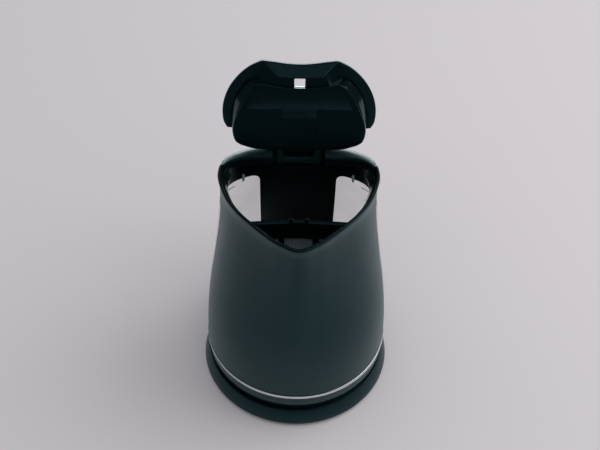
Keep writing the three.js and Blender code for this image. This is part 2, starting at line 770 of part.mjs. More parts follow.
function makeLid() {
  const hinge = new THREE.Group();
  hinge.position.set(0, HINGE.y, HINGE.z);
  hinge.rotation.x = THREE.MathUtils.degToRad(-OPEN_ANGLE);
  const lid = new THREE.Group();
  lid.position.set(0, -HINGE.y, -HINGE.z);
  hinge.add(lid);
  kettle.add(hinge);

  const domeSteps = [
    [0, 1],
    [1.6, 1],
    [2.6, 0.985],
    [4.2, 0.93],
    [6, 0.8],
    [7.4, 0.6],
    [8.2, 0.35],
  ];
  let cover = skin(domeSteps.map(([rise, scale]) => lidRing(FLANGE_HALF, LID_FLANGE_Z + rise, scale)));
  const cavitySteps = [
    [-1, 1.012],
    [1.8, 1.005],
    [3, 0.9],
    [4.6, 0.7],
    [5.4, 0.5],
  ];
  const cavity = skin(cavitySteps.map(([rise, scale]) => lidRing(BOX_HALF, LID_FLANGE_Z + rise, scale)));
  cover = cover.subtract(cavity.intersect(box(-90, 90, -90, 16, 180, 230)));
  const strip = skin([
    lidRing(BOX_HALF, DECK_TOP - 2, 1, 3.4),
    lidRing(BOX_HALF, DECK_TOP + 0.2, 1, 4.2),
  ]);
  cover = cover.add(strip.intersect(box(-90, 90, 17.9, 60, 180, LID_FLANGE_Z - 0.5)));
  cover = cover.add(box(-48, 48, 16.2, 19.4, DECK_TOP - 1.2, LID_FLANGE_Z + 1));
  const coverSlot = box(-SLOT_HALF_WIDTH - 0.2, SLOT_HALF_WIDTH + 0.2, -28, -13.5, 180, 230);
  cover = cover.subtract(coverSlot);
  add("lid_cover", cover, SATIN_BLACK, lid);

  let liner = skin([
    lidRing(BOX_HALF, LID_FLOOR_Z, 0.965),
    lidRing(BOX_HALF, LID_FLOOR_Z + 1, 0.98),
    lidRing(BOX_HALF, DECK_TOP - 2.4, 1, 2.9),
    lidRing(BOX_HALF, LID_FLANGE_Z + 1.4, 1, 5),
  ]);
  const lip = skin([
    lidRing(LIP_LOW_HALF, LID_PLATE_Z),
    lidRing(LIP_HIGH_HALF, LID_FLANGE_Z - GAP),
  ]);
  liner = liner.add(lip);
  const hollow = skin([
    lidRing(BOX_HALF, LID_FLOOR_Z + 2, 0.94, 1.5),
    lidRing(BOX_HALF, LID_FLANGE_Z + 3, 0.95, 5),
  ]);
  const lipHollow = skin([
    lidRing(LIP_LOW_HALF, LID_PLATE_Z + 2, 0.93),
    lidRing(LIP_HIGH_HALF, LID_FLANGE_Z + 1, 0.93),
  ]);
  const slotWall = box(-SLOT_HALF_WIDTH - 1.6, SLOT_HALF_WIDTH + 1.6, -30, -19.2, LID_PLATE_Z, 203);
  liner = liner.subtract(hollow).subtract(lipHollow.subtract(slotWall));
  liner = liner.subtract(box(-90, 90, 14.8, 60, DECK_TOP - 2.4, 230));
  liner = liner.subtract(box(-90, 90, -90, 90, LID_FLANGE_Z + 1.2, 230));
  liner = liner.subtract(box(-SLOT_HALF_WIDTH, SLOT_HALF_WIDTH, -27.2, -20.4, 180, 230));
  add("lid_liner", liner, GLOSS_BLACK, lid);

  const armsHalf = KNUCKLE_X + 1;
  let arms = bar([-armsHalf, HINGE.y, HINGE.z], [armsHalf, HINGE.y, HINGE.z], BARREL_RADIUS, 18);
  for (const x of [-KNUCKLE_X - KNUCKLE_WIDTH, KNUCKLE_X]) {
    const end = x + KNUCKLE_WIDTH;
    arms = arms.add(box(x, end, ARM_START_Y, HINGE.y, HINGE.z - 2.7, HINGE.z + 0.2));
    arms = arms.add(bar([x, HINGE.y, HINGE.z], [end, HINGE.y, HINGE.z], KNUCKLE_RADIUS, 20));
  }
  const bore = bar([-30, HINGE.y, HINGE.z], [30, HINGE.y, HINGE.z], PIN_RADIUS + GAP, 14);
  add("lid_hinge_arms", arms.subtract(bore), GLOSS_BLACK, lid);
}

makeBase();
makeConnector();
makeVessel();
makeHeater();
makeCollar();
makeDeck();
makeFilter();
makeHandle();
makeSwitch();
makeLid();

export default kettle;
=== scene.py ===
"""Looks of an electric kettle with its lid open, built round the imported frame.

Shapes are worked out in millimetres, as in the CAD, and turned into metres when a mesh is made.
The spout points to -Y, the handle to +Y, and the base's underside is at Z = 0.
"""
import math

import bmesh
import bpy
from mathutils import Matrix, Vector


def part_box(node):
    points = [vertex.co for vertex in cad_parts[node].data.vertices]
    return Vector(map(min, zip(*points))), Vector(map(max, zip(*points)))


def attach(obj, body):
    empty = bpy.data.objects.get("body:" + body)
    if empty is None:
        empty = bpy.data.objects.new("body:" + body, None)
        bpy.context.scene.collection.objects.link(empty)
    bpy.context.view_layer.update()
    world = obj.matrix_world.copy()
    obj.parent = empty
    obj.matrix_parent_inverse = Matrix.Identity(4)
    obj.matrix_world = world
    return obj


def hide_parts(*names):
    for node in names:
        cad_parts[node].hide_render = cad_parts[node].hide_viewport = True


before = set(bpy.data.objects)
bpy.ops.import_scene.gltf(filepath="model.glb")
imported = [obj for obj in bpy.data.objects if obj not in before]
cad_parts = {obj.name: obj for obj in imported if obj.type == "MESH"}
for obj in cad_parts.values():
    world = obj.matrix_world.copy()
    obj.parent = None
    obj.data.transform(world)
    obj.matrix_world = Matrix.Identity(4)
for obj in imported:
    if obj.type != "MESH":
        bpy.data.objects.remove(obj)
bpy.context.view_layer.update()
MM = 0.001


def span(node):
    """Lowest and highest corner of a CAD node in millimetres."""
    low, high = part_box(node)
    return low / MM, high / MM


# ---- Driving dimensions, in millimetres ----
GAP = 0.3
WALL = 2.6
SHELL_LOW = span("body_shell")[0].z
RIM_Z = span("body_shell")[1].z
RING_LOW, RING_HIGH = span("trim_ring")[0].z, span("trim_ring")[1].z
BASE_RADIUS = span("base_cover")[1].x
BASE_TOP = span("base_cover")[1].z
LAND_Z = 15.5
FOOT_LOW = span("foot_front_left")[0].z
TIP_DIP = 3.5
TIP_Y = -59
DIP_END_Y = -22
REAR_DROP = 2.7
REAR_START, REAR_END = math.radians(112), math.radians(119)
BLEND_LOW = 55
RIM_HALF_WIDTH = 63.1
BODY_PROFILE = [(36.8, 75.75), (60, 75), (90, 72.7), (125, 68), (160, 63.6), (190, 61.55), (203.5, 63.1)]
RIM_RADII = [62.5, 57.9, 53.6, 52.1, 53.3, 56, 59.8, 65, 67, 61, 53.8, 50.5, 49.5]
WINDOW_X = 31
WINDOW_FRONT_Y = 8
WINDOW_LOW, WINDOW_HIGH = 50, 175
WINDOW_CORNER = 7
WINDOW_PROUD = 0.8
PIN_LOW, PIN_HIGH = span("hinge_pin")
HINGE_Y, HINGE_Z = (PIN_LOW.y + PIN_HIGH.y) / 2, (PIN_LOW.z + PIN_HIGH.z) / 2
OPEN_ANGLE = math.radians(108)
POCKET_HALF_WIDTH = 20.5
DECK_LOW, DECK_TOP = span("rear_deck")[0].z, span("rear_deck")[1].z
DECK_SKIRT_Z = 194
LID_FLANGE_Z = 203.9
LID_FLOOR_Z = 191.5
LID_PLATE_Z = 194.5
SLOT_HALF_WIDTH = 4.2
FILTER_Y = -20
FILTER_LOW = span("filter_frame")[0].z
FILTER_TOP = 187.3
PANE_LOW, PANE_HIGH = 143, 170
PANE_EDGES = {"left": (-27.5, -15.5), "centre": (-11.2, 11.2), "right": (15.5, 27.5)}


# ---- Camera, floor and light ----
IMAGE_WIDTH = 600
FOCAL_PIXELS = 1109.35
SENSOR = 36
CAMERA_SPOT = Vector((1.432, -596.52, 801.5)) * MM
CAMERA_PITCH = math.radians(46.969)
CAMERA_YAW = math.radians(-1.332)
CAMERA_ROLL = math.radians(1.454)


def make_camera():
    data = bpy.data.cameras.new("camera")
    data.sensor_width = SENSOR
    data.lens = FOCAL_PIXELS / IMAGE_WIDTH * SENSOR
    camera = bpy.data.objects.new("camera", data)
    bpy.context.scene.collection.objects.link(camera)
    aim = Matrix.Rotation(math.pi / 2 - CAMERA_PITCH, 4, "X") @ Matrix.Rotation(CAMERA_ROLL, 4, "Z")
    camera.matrix_world = Matrix.Rotation(CAMERA_YAW, 4, "Z") @ Matrix.Translation(CAMERA_SPOT) @ aim
    bpy.context.scene.camera = camera


def area_light(name, spot, target, size, power, color=(1, 1, 1)):
    data = bpy.data.lights.new(name, "AREA")
    data.shape = "RECTANGLE"
    data.size, data.size_y = size
    data.energy = power
    data.color = color
    lamp = bpy.data.objects.new(name, data)
    lamp.location = spot
    lamp.rotation_mode = "QUATERNION"
    lamp.rotation_quaternion = (Vector(target) - Vector(spot)).to_track_quat("-Z", "Y")
    bpy.context.scene.collection.objects.link(lamp)
    return lamp


STUDIO_FRONT, STUDIO_BACK, STUDIO_SIDE = -1.0, 3.0, 2.2


def make_studio():
    """A pale floor; a world that looks pale, gives a soft diffuse fill and shows dim in reflections; a soft
    box at the right, a weak one overhead and one behind that shows only in reflections.
    """
    bpy.ops.mesh.primitive_plane_add(size=1, location=(0, (STUDIO_FRONT + STUDIO_BACK) / 2, FOOT_LOW * MM))
    floor = bpy.context.object
    floor.name = "studio_floor"
    floor.scale = (2 * STUDIO_SIDE, STUDIO_BACK - STUDIO_FRONT, 1)
    floor.data.materials.append(floor_material())
    world = bpy.data.worlds.new("studio")
    world.use_nodes = True
    nodes, links = world.node_tree.nodes, world.node_tree.links
    dim = nodes["Background"]
    dim.inputs["Color"].default_value = (0.04, 0.052, 0.056, 1)
    pale = nodes.new("ShaderNodeBackground")
    pale.inputs["Color"].default_value = (0.5, 0.48, 0.5, 1)
    soft = nodes.new("ShaderNodeBackground")
    soft.inputs["Color"].default_value = (0.5, 0.5, 0.515, 1)
    fill, mix = nodes.new("ShaderNodeMixShader"), nodes.new("ShaderNodeMixShader")
    rays = nodes.new("ShaderNodeLightPath")
    links.new(rays.outputs["Is Diffuse Ray"], fill.inputs["Fac"])
    links.new(dim.outputs[0], fill.inputs[1])
    links.new(soft.outputs[0], fill.inputs[2])
    links.new(rays.outputs["Is Camera Ray"], mix.inputs["Fac"])
    links.new(fill.outputs[0], mix.inputs[1])
    links.new(pale.outputs[0], mix.inputs[2])
    links.new(mix.outputs[0], nodes["World Output"].inputs["Surface"])
    bpy.context.scene.world = world
    bpy.context.scene.view_settings.view_transform = "Standard"
    area_light("key", (1.4, 0.3, 1.6), (0.05, 0.2, 0), (1.8, 1.8), 17.5, (1, 0.97, 0.98))
    area_light("overhead", (0, 0.5, 1.6), (0, 0.1, 0.2), (1.6, 1), 1, (0.95, 1, 1))
    rear = area_light("rear", (0, 2.2, 0.62), (0, 0, 0.2), (2.4, 0.9), 62, (0.97, 0.99, 1))
    rear.visible_diffuse = False


# ---- Materials ----
TEAL = (0.36, 0.92, 1)
WHITE = (1, 1, 1)


class Look:
    """A node material in the making. Its patterns follow the object's own coordinates."""

    def __init__(self, name):
        self.material = bpy.data.materials.new(name)
        self.material.use_nodes = True
        self.nodes, self.links = self.material.node_tree.nodes, self.material.node_tree.links
        self.shader = self.nodes["Principled BSDF"]
        self.coords = self.nodes.new("ShaderNodeTexCoord").outputs["Object"]

    def set(self, socket, value):
        self.shader.inputs[socket].default_value = value

    def noise(self, scale, detail=3.0, rough=0.55):
        noise = self.nodes.new("ShaderNodeTexNoise")
        noise.inputs["Scale"].default_value = scale
        noise.inputs["Detail"].default_value = detail
        noise.inputs["Roughness"].default_value = rough
        self.links.new(self.coords, noise.inputs["Vector"])
        return noise.outputs["Fac"]

    def drive(self, socket, source, low, high, start=0.3, end=0.7):
        """Lets a 0 to 1 pattern move a socket between two colours or two greys."""
        ramp = self.nodes.new("ShaderNodeValToRGB")
        for stop, place, shade in zip(ramp.color_ramp.elements, (start, end), (low, high)):
            stop.position = place
            stop.color = (*shade, 1) if hasattr(shade, "__len__") else (shade, shade, shade, 1)
        self.links.new(source, ramp.inputs["Fac"])
        self.links.new(ramp.outputs["Color"], self.shader.inputs[socket])

    def bump(self, height, strength, distance):
        bump = self.nodes.new("ShaderNodeBump")
        bump.inputs["Strength"].default_value = strength
        bump.inputs["Distance"].default_value = distance
        self.links.new(height, bump.inputs["Height"])
        self.links.new(bump.outputs["Normal"], self.shader.inputs["Normal"])


def plastic(name, low, high, rough, grain=900, height=0.00002, specular=0.5, tint=TEAL):
    """Moulded plastic: a fine spark-eroded grain, faint colour drift and patches of polish."""
    look = Look(name)
    look.drive("Base Color", look.noise(14, 4), low, high)
    look.drive("Roughness", look.noise(38, 5, 0.65), *rough)
    look.bump(look.noise(grain, 2, 0.5), 0.35, height)
    look.set("Specular IOR Level", specular)
    look.set("Specular Tint", (*tint, 1))
    return look.material


def sheened(material, weight):
    """Adds a faint coloured sheen to a plastic."""
    inputs = material.node_tree.nodes["Principled BSDF"].inputs
    inputs["Sheen Weight"].default_value = weight
    inputs["Sheen Tint"].default_value = (*TEAL, 1)
    return material


def metal(name, color, rough, kind="BANDS"):
    """Metal with fine drawn (bands) or turned (rings) lines in its roughness and bump."""
    look = Look(name)
    look.set("Metallic", 1)
    look.drive("Base Color", look.noise(20, 3), tuple(0.9 * c for c in color), color)
    wave = look.nodes.new("ShaderNodeTexWave")
    wave.wave_type = kind
    wave.rings_direction = wave.bands_direction = "Z"
    wave.inputs["Scale"].default_value = 500
    wave.inputs["Distortion"].default_value = 1.2
    wave.inputs["Detail"].default_value = 3
    look.links.new(look.coords, wave.inputs["Vector"])
    look.drive("Roughness", wave.outputs["Fac"], *rough)
    look.bump(wave.outputs["Fac"], 0.15, 0.00002)
    return look.material


def rubber(name, color):
    """Matt rubber with a little dust in its grain."""
    look = Look(name)
    dust = look.noise(60, 6, 0.7)
    look.drive("Base Color", dust, color, tuple(1.5 * c + 0.004 for c in color), 0.45, 0.8)
    look.drive("Roughness", dust, 0.6, 0.85)
    look.bump(look.noise(1400, 3, 0.6), 0.5, 0.00004)
    return look.material


def clear_plastic(name):
    """Water window: clear, slightly tinted, with a faint film that softens its shine."""
    look = Look(name)
    film = look.noise(25, 5, 0.6)
    look.drive("Base Color", film, (0.3, 0.31, 0.315), (0.37, 0.36, 0.35))
    look.drive("Roughness", film, 0.04, 0.14)
    look.drive("Alpha", film, 0.1, 0.2)
    look.set("IOR", 1.49)
    return look.material


def floor_material():
    look = Look("studio_paper")
    look.drive("Base Color", look.noise(3), (0.76, 0.735, 0.755), (0.78, 0.75, 0.77))
    look.set("Roughness", 0.95)
    look.set("Specular IOR Level", 0.1)
    return look.material


SATIN_LOW, SATIN_HIGH = (0.0014, 0.0048, 0.0055), (0.0018, 0.0058, 0.0065)
SATIN = sheened(plastic("satin_black_plastic", SATIN_LOW, SATIN_HIGH, (0.34, 0.38), specular=0.37), 0.1)
PAD = plastic("fine_satin_plastic", (0.0014, 0.0045, 0.0055), (0.0018, 0.0054, 0.0064), (0.26, 0.3))
GLOSS = plastic(
    "gloss_black_plastic", (0.0012, 0.004, 0.005), (0.0018, 0.005, 0.006), (0.14, 0.18), 500, 0.000008
)
INNER_WALL = plastic(
    "inner_wall_plastic", (0.001, 0.003, 0.004), (0.0013, 0.0035, 0.0045), (0.28, 0.31), 600, 0.00001, 0.3
)
GREY_NYLON = plastic("grey_nylon", (0.27, 0.36, 0.38), (0.33, 0.42, 0.44), (0.4, 0.55), tint=WHITE)
DARK_NYLON = plastic("dark_nylon", (0.03, 0.033, 0.035), (0.045, 0.048, 0.05), (0.5, 0.65))
SILVER = metal("silver_band", (0.74, 0.76, 0.78), (0.12, 0.2))
STEEL = metal("brushed_steel", (0.5, 0.5, 0.5), (0.22, 0.36), "RINGS")
DARK_STEEL = metal("blackened_steel", (0.05, 0.06, 0.065), (0.3, 0.4), "RINGS")
BRASS = metal("spring_brass", (0.6, 0.42, 0.17), (0.25, 0.4))
RUBBER = rubber("black_rubber", (0.018, 0.02, 0.022))
GRIP = rubber("soft_grip", (0.009, 0.013, 0.014))
CLEAR = clear_plastic("clear_window")
LENS = plastic("red_lens", (0.16, 0.012, 0.01), (0.2, 0.016, 0.012), (0.08, 0.14), tint=WHITE)
INK = plastic("printed_ink", (0.03, 0.035, 0.04), (0.05, 0.055, 0.06), (0.5, 0.6))


# ---- Mesh helpers ----
CREASE = math.radians(35)


def built(name, verts, faces, turn=None):
    """A cleaned mesh object from millimetre points, turned into place by a matrix in millimetres."""
    points = [Vector(v) for v in verts]
    if turn is not None:
        points = [turn @ point for point in points]
    mesh = bpy.data.meshes.new(name)
    mesh.from_pydata([point * MM for point in points], [], faces)
    build = bmesh.new()
    build.from_mesh(mesh)
    bmesh.ops.remove_doubles(build, verts=build.verts, dist=0.0005 * MM)
    bmesh.ops.recalc_face_normals(build, faces=build.faces)
    build.to_mesh(mesh)
    build.free()
    made = bpy.data.objects.new(name, mesh)
    bpy.context.scene.collection.objects.link(made)
    return made


def smooth(mesh, crease=CREASE):
    """Smooth shading apart from the sharp edges."""
    mesh.shade_smooth()
    mesh.set_sharp_from_angle(angle=crease)


def piece(name, verts, faces, material, body, node=None, slot=None, crease=CREASE, turn=None):
    """A visible piece that rides on a body and may stand for a CAD node."""
    made = built(name, verts, faces, turn)
    smooth(made.data, crease)
    made.data.materials.append(material)
    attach(made, body)
    if node:
        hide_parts(node)
    return made


def skin_faces(rows, cols, loop_rows=False, loop_cols=True, offset=0):
    """Quads over rows of points: each row has cols points."""
    faces = []
    for i in range(rows if loop_rows else rows - 1):
        for j in range(cols if loop_cols else cols - 1):
            a, b = i * cols + j, i * cols + (j + 1) % cols
            c, d = ((i + 1) % rows) * cols + (j + 1) % cols, ((i + 1) % rows) * cols + j
            faces.append((a + offset, b + offset, c + offset, d + offset))
    return faces


def skinned(rings, close_start=True, close_end=True, loop=False):
    """Points and faces of a skin over rings; its ends are closed, or it runs back to its start."""
    cols = len(rings[0])
    verts = [p for ring in rings for p in ring]
    faces = skin_faces(len(rings), cols, loop)
    if not loop:
        if close_start:
            faces.append(tuple(range(cols - 1, -1, -1)))
        if close_end:
            faces.append(tuple(range((len(rings) - 1) * cols, len(rings) * cols)))
    return verts, faces


def filleted(points, radius, steps=4, closed=True):
    """The outline with each corner rounded. A point may carry its own radius as a third value."""
    rounded = []
    count = len(points)
    for i, point in enumerate(points):
        here = Vector(point[:2])
        reach = point[2] if len(point) > 2 else radius
        if reach <= 0 or (not closed and i in (0, count - 1)):
            rounded.append(tuple(here))
            continue
        before = Vector(points[i - 1][:2]) - here
        after = Vector(points[(i + 1) % count][:2]) - here
        reach = min(reach, before.length * 0.48, after.length * 0.48)
        start, end = here + before.normalized() * reach, here + after.normalized() * reach
        for k in range(steps + 1):
            t = k / steps
            rounded.append(tuple(start * (1 - t) ** 2 + here * 2 * t * (1 - t) + end * t * t))
    return rounded


def turned(name, outline, material, body, fillet=0.5, sides=192, **rest):
    """A piece turned about the Z axis from a closed outline of (radius, z) points."""
    section = filleted(outline, fillet)
    rings = []
    for i in range(sides):
        angle = i / sides * 2 * math.pi
        rings.append([(r * math.cos(angle), r * math.sin(angle), z) for r, z in section])
    return piece(name, *skinned(rings, loop=True), material, body, **rest)


def quarter(steps):
    """Sine and one less cosine at equal steps over a quarter turn, for a rounded edge."""
    angles = [k / steps * math.pi / 2 for k in range(steps + 1)]
    return [(math.sin(angle), 1 - math.cos(angle)) for angle in angles]


def plate(outline, low, high, edge=0.4, steps=3):
    """Rings for a flat plate of a plan outline with rounded top and bottom edges."""
    bottom = [shrunk(outline, edge * (1 - out), low + edge * rise) for out, rise in quarter(steps)]
    top = [shrunk(outline, edge * back, high - edge * (1 - rise)) for rise, back in quarter(steps)]
    return bottom + top


def shrunk(outline, inset, z):
    """A closed plan outline, listed anticlockwise, moved inwards and set at height z."""
    count = len(outline)
    ring = []
    for i, point in enumerate(outline):
        before, after = Vector(outline[i - 1]), Vector(outline[(i + 1) % count])
        along = (after - before).normalized() if (after - before).length > 1e-9 else Vector((1, 0))
        ring.append((point[0] - along.y * inset, point[1] + along.x * inset, z))
    return ring


def joined(parts):
    """One set of points and faces made of several."""
    verts, faces = [], []
    for part_verts, part_faces in parts:
        faces += [tuple(k + len(verts) for k in face) for face in part_faces]
        verts += part_verts
    return verts, faces


def along_y(outline, *places):
    """A skin over an outline of (x, z) points set at each place along Y."""
    return skinned([[(x, y, z) for x, z in outline] for y in places])


def rounded_box(x0, x1, y0, y1, radius, steps=5):
    corners = [(x1, y0, radius), (x1, y1, radius), (x0, y1, radius), (x0, y0, radius)]
    return filleted(corners, radius, steps)


def circle(x, y, radius, sides=40):
    return [
        (x + radius * math.cos(i / sides * 2 * math.pi), y + radius * math.sin(i / sides * 2 * math.pi))
        for i in range(sides)
    ]


def cutter(verts, faces, turn=None):
    """A hidden mesh used once by cut()."""
    return built("cutter", verts, faces, turn)


def box_cutter(x0, x1, y0, y1, z0, z1):
    plan = ((x0, y0), (x1, y0), (x1, y1), (x0, y1))
    return cutter(*skinned([[(x, y, z) for x, y in plan] for z in (z0, z1)]))


def plate_cutter(outline, low, high, edge=0.01, steps=3, turn=None):
    return cutter(*skinned(plate(outline, low, high, edge, steps)), turn)


def apply_change(target, change):
    """Replaces the target's mesh by what the modifier makes of it."""
    bpy.context.view_layer.update()
    seen = bpy.context.evaluated_depsgraph_get()
    mesh = bpy.data.meshes.new_from_object(target.evaluated_get(seen))
    target.modifiers.remove(change)
    old = target.data
    target.data = mesh
    mesh.name = old.name
    bpy.data.meshes.remove(old)
    smooth(mesh)


def cut(target, tool, operation="DIFFERENCE"):
    """Applies a boolean of the tool to the target and removes the tool."""
    change = target.modifiers.new("cut", "BOOLEAN")
    change.object = tool
    change.operation = operation
    change.solver = "EXACT"
    apply_change(target, change)
    bpy.data.objects.remove(tool)


def soften(target, width, limit=math.radians(50), segments=2):
    """Rounds the target's sharp edges."""
    change = target.modifiers.new("soften", "BEVEL")
    change.width = width * MM
    change.segments = segments
    change.limit_method = "ANGLE"
    change.angle_limit = limit
    change.use_clamp_overlap = True
    apply_change(target, change)


# ---- The body's form, as in the CAD ----
def smoothstep(x, low, high):
    t = min(1, max(0, (x - low) / (high - low)))
    return t * t * (3 - 2 * t)


def catmull_rom(p0, p1, p2, p3, t):
    a, b = 2 * p1, p2 - p0
    c, d = 2 * p0 - 5 * p1 + 4 * p2 - p3, 3 * p1 - p0 - 3 * p2 + p3
    return (a + b * t + c * t * t + d * t**3) / 2


def rim_radius(phi):
    last = len(RIM_RADII) - 1
    at = abs(phi) / math.pi * last
    i = min(int(at), last - 1)
    values = [RIM_RADII[abs(k) if k <= last else 2 * last - k] for k in range(i - 1, i + 3)]
    return catmull_rom(*values, at - i)


def half_width(z):
    last = len(BODY_PROFILE) - 1
    z = min(max(z, BODY_PROFILE[0][0]), BODY_PROFILE[last][0])
    i = 0
    while i < last - 1 and z > BODY_PROFILE[i + 1][0]:
        i += 1
    t = (z - BODY_PROFILE[i][0]) / (BODY_PROFILE[i + 1][0] - BODY_PROFILE[i][0])
    values = [BODY_PROFILE[min(max(k, 0), last)][1] for k in range(i - 1, i + 3)]
    return catmull_rom(*values, t)


def body_radius(phi, z):
    blend = smoothstep(z, BLEND_LOW, RIM_Z)
    return half_width(z) * (1 - blend + blend * rim_radius(phi) / RIM_HALF_WIDTH)


def body_point(phi, z, offset=0.0):
    """A point of the body's surface: phi runs from the spout to the rear, negative on the left."""
    radius = body_radius(phi, z) + offset
    return (radius * math.sin(phi), -radius * math.cos(phi), z)


def rim_height(phi):
    """Dips to the spout's tip at the front and is set lower at the rear, under the deck's shoulder."""
    y = -rim_radius(phi) * math.cos(phi)
    under_deck = REAR_DROP * smoothstep(abs(phi), REAR_START, REAR_END)
    return RIM_Z - TIP_DIP * (1 - smoothstep(y, TIP_Y, DIP_END_Y)) - under_deck


def on_circle(radius, degrees):
    angle = math.radians(degrees)
    return radius * math.cos(angle), radius * math.sin(angle)


# ---- Vessel ----
FAR = 95  # past the kettle's side
SCREW_RECESS = 3.4
BASE_SCREWS = [on_circle(34, degrees) for degrees in (90, 210, 330)]
COVER_SCREWS = [on_circle(42, degrees) for degrees in (30, 150, 270)]
SHELL_SIDES = 288


def shell_section(phi):
    """The wall's closed section at phi: up the outside, over the lip and down the inside."""
    top = rim_height(phi)
    lip = WALL / 2
    foot = 0.5
    section = [body_point(phi, SHELL_LOW, -foot)]
    rows = 64
    for i in range(rows + 1):
        section.append(body_point(phi, SHELL_LOW + foot + (top - lip - SHELL_LOW - foot) * i / rows))
    for i in range(1, 8):
        angle = i / 8 * math.pi
        section.append(body_point(phi, top - lip + lip * math.sin(angle), -lip + lip * math.cos(angle)))
    for i in range(rows + 1):
        section.append(body_point(phi, top - lip - (top - lip - SHELL_LOW) * i / rows, -WALL))
    return section


def window_cutter(side):
    """The window's opening: its corners are rounded, and it runs out through the kettle's side."""
    outline = [(FAR, WINDOW_LOW, 0), (FAR, WINDOW_HIGH, 0), (WINDOW_X, WINDOW_HIGH), (WINDOW_X, WINDOW_LOW)]
    outline = [(side * x, z) for x, z in filleted(outline, WINDOW_CORNER, 8)]
    return cutter(*along_y(outline, WINDOW_FRONT_Y, FAR))


def make_shell():
    rings = []
    for i in range(SHELL_SIDES):
        rings.append(shell_section((i / SHELL_SIDES * 2 - 1) * math.pi))
    shell = piece("vessel_wall", *skinned(rings, loop=True), SATIN, "kettle", "body_shell", "satin_black")
    for side in (-1, 1):
        cut(shell, window_cutter(side))
    shell.data.materials.append(INNER_WALL)
    for face in shell.data.polygons:
        x, y, z = face.center / MM
        phi = math.atan2(x, -y)
        if math.hypot(x, y) < body_radius(phi, z) - 0.5:
            face.material_index = 1
    seat = [(64, 45), (73.6, 45), (73.6, 48), (64.5, 47)]
    turned("plate_seat", seat, INNER_WALL, "kettle", slot="gloss_black")


def edge_phi(z, offset, near):
    """Where the surface at height z meets the window's inner edge (near) or its front edge."""
    low, high = (math.pi / 2, math.pi) if near else (math.pi / 3, math.pi * 0.7)
    for _ in range(40):
        phi = (low + high) / 2
        x, y, _z = body_point(phi, z, offset)
        past = x < WINDOW_X + GAP if near else y > WINDOW_FRONT_Y + GAP
        low, high = (low, phi) if past else (phi, high)
    return phi


def make_window(side):
    """A clear moulded pane, proud of the wall outside, with rounded corners and edges."""
    low, high = WINDOW_LOW + GAP, WINDOW_HIGH - GAP
    rows, cols = 90, 44
    edge = 1.1
    front_rows, back_rows = [], []
    for i in range(rows + 1):
        t = (1 - math.cos(i / rows * math.pi)) / 2
        z = low + (high - low) * t
        to_end = min(z - low, high - z)
        corner = WINDOW_CORNER
        inset = corner - math.sqrt(max(0, corner**2 - (corner - min(to_end, corner)) ** 2))
        radius = half_width(z)
        phi_near = edge_phi(z, 0, True) - inset / radius
        phi_front = edge_phi(z, 0, False)
        front, back = [], []
        for j in range(cols + 1):
            u = (1 - math.cos(j / cols * math.pi)) / 2
            phi = phi_near + (phi_front - phi_near) * u
            away = min(min(u, 1 - u) * (phi_near - phi_front) * radius, to_end)
            drop = 1 - math.sqrt(max(0, 1 - (1 - min(away / edge, 1)) ** 2))
            outside = body_point(phi, z, WINDOW_PROUD - edge * drop)
            inside = body_point(phi, z, -WALL + 0.5 + 0.4 * drop)
            front.append((side * outside[0], outside[1], outside[2]))
            back.append((side * inside[0], inside[1], inside[2]))
        front_rows.append(front)
        back_rows.append(back)
    verts = [p for row in front_rows for p in row] + [p for row in back_rows for p in row]
    size = (rows + 1) * (cols + 1)
    faces = skin_faces(rows + 1, cols + 1, loop_cols=False)
    faces += skin_faces(rows + 1, cols + 1, loop_cols=False, offset=size)
    border = list(range(cols))
    border += [i * (cols + 1) + cols for i in range(rows)]
    border += [rows * (cols + 1) + j for j in range(cols, 0, -1)]
    border += [i * (cols + 1) for i in range(rows, 0, -1)]
    for a, b in zip(border, border[1:] + border[:1]):
        faces.append((a, b, b + size, a + size))
    name = "left" if side < 0 else "right"
    piece(f"water_window_{name}", verts, faces, CLEAR, "kettle", f"window_{name}", "clear_window")
    make_level_marks(side, name)


def make_level_marks(side, name):
    """Plain level ticks printed on the window, a long one every fourth."""
    ticks = []
    for i in range(9):
        z = 64 + i * 12.6
        length = 0.11 if i % 4 == 0 else 0.06
        rings = []
        for k in range(9):
            phi = 2.12 + length * k / 8
            section = [(-0.4, -0.1), (0.4, -0.1), (0.4, 0.05), (-0.4, 0.05)]
            points = [body_point(phi, z + up, WINDOW_PROUD + out) for up, out in section]
            rings.append([(side * x, y, high) for x, y, high in points])
        ticks.append(skinned(rings))
    piece(f"level_marks_{name}", *joined(ticks), INK, "kettle", slot="gloss_black")


def make_skirt_and_ring():
    outline = [
        (75, 22.5, 0.8), (75.9, RING_LOW - GAP, 0.4), (72.2, RING_LOW - GAP, 0.2), (72.2, 44),
        (70.2, 44), (70.2, 25.5), (24.6, 25.5), (24.6, 23), (56, 23), (56, LAND_Z + GAP),
        (59.5, LAND_Z + GAP), (59.5, 23), (72.5, 23), (73, 22.5),
    ]
    cover = turned("kettle_skirt", outline, SATIN, "kettle", node="bottom_cover", slot="satin_black")
    for x, y in COVER_SCREWS:
        cut(cover, plate_cutter(circle(x, y, SCREW_RECESS), 20, 30))
    band = [(73.1, RING_LOW), (76.2, RING_LOW, 0.5), (76.2, RING_HIGH, 0.5), (73.1, RING_HIGH)]
    turned("silver_band", band, SILVER, "kettle", fillet=0.2, sides=288, node="trim_ring", slot="silver")


def form_tool(low, high, offset, levels=16, sides=240):
    """The body's form between two heights as a closed cutter."""
    heights = [low + (high - low) * i / levels for i in range(levels + 1)]
    turns = [(i / sides * 2 - 1) * math.pi for i in range(sides)]
    return cutter(*skinned([[body_point(phi, z, offset) for phi in turns] for z in heights]))


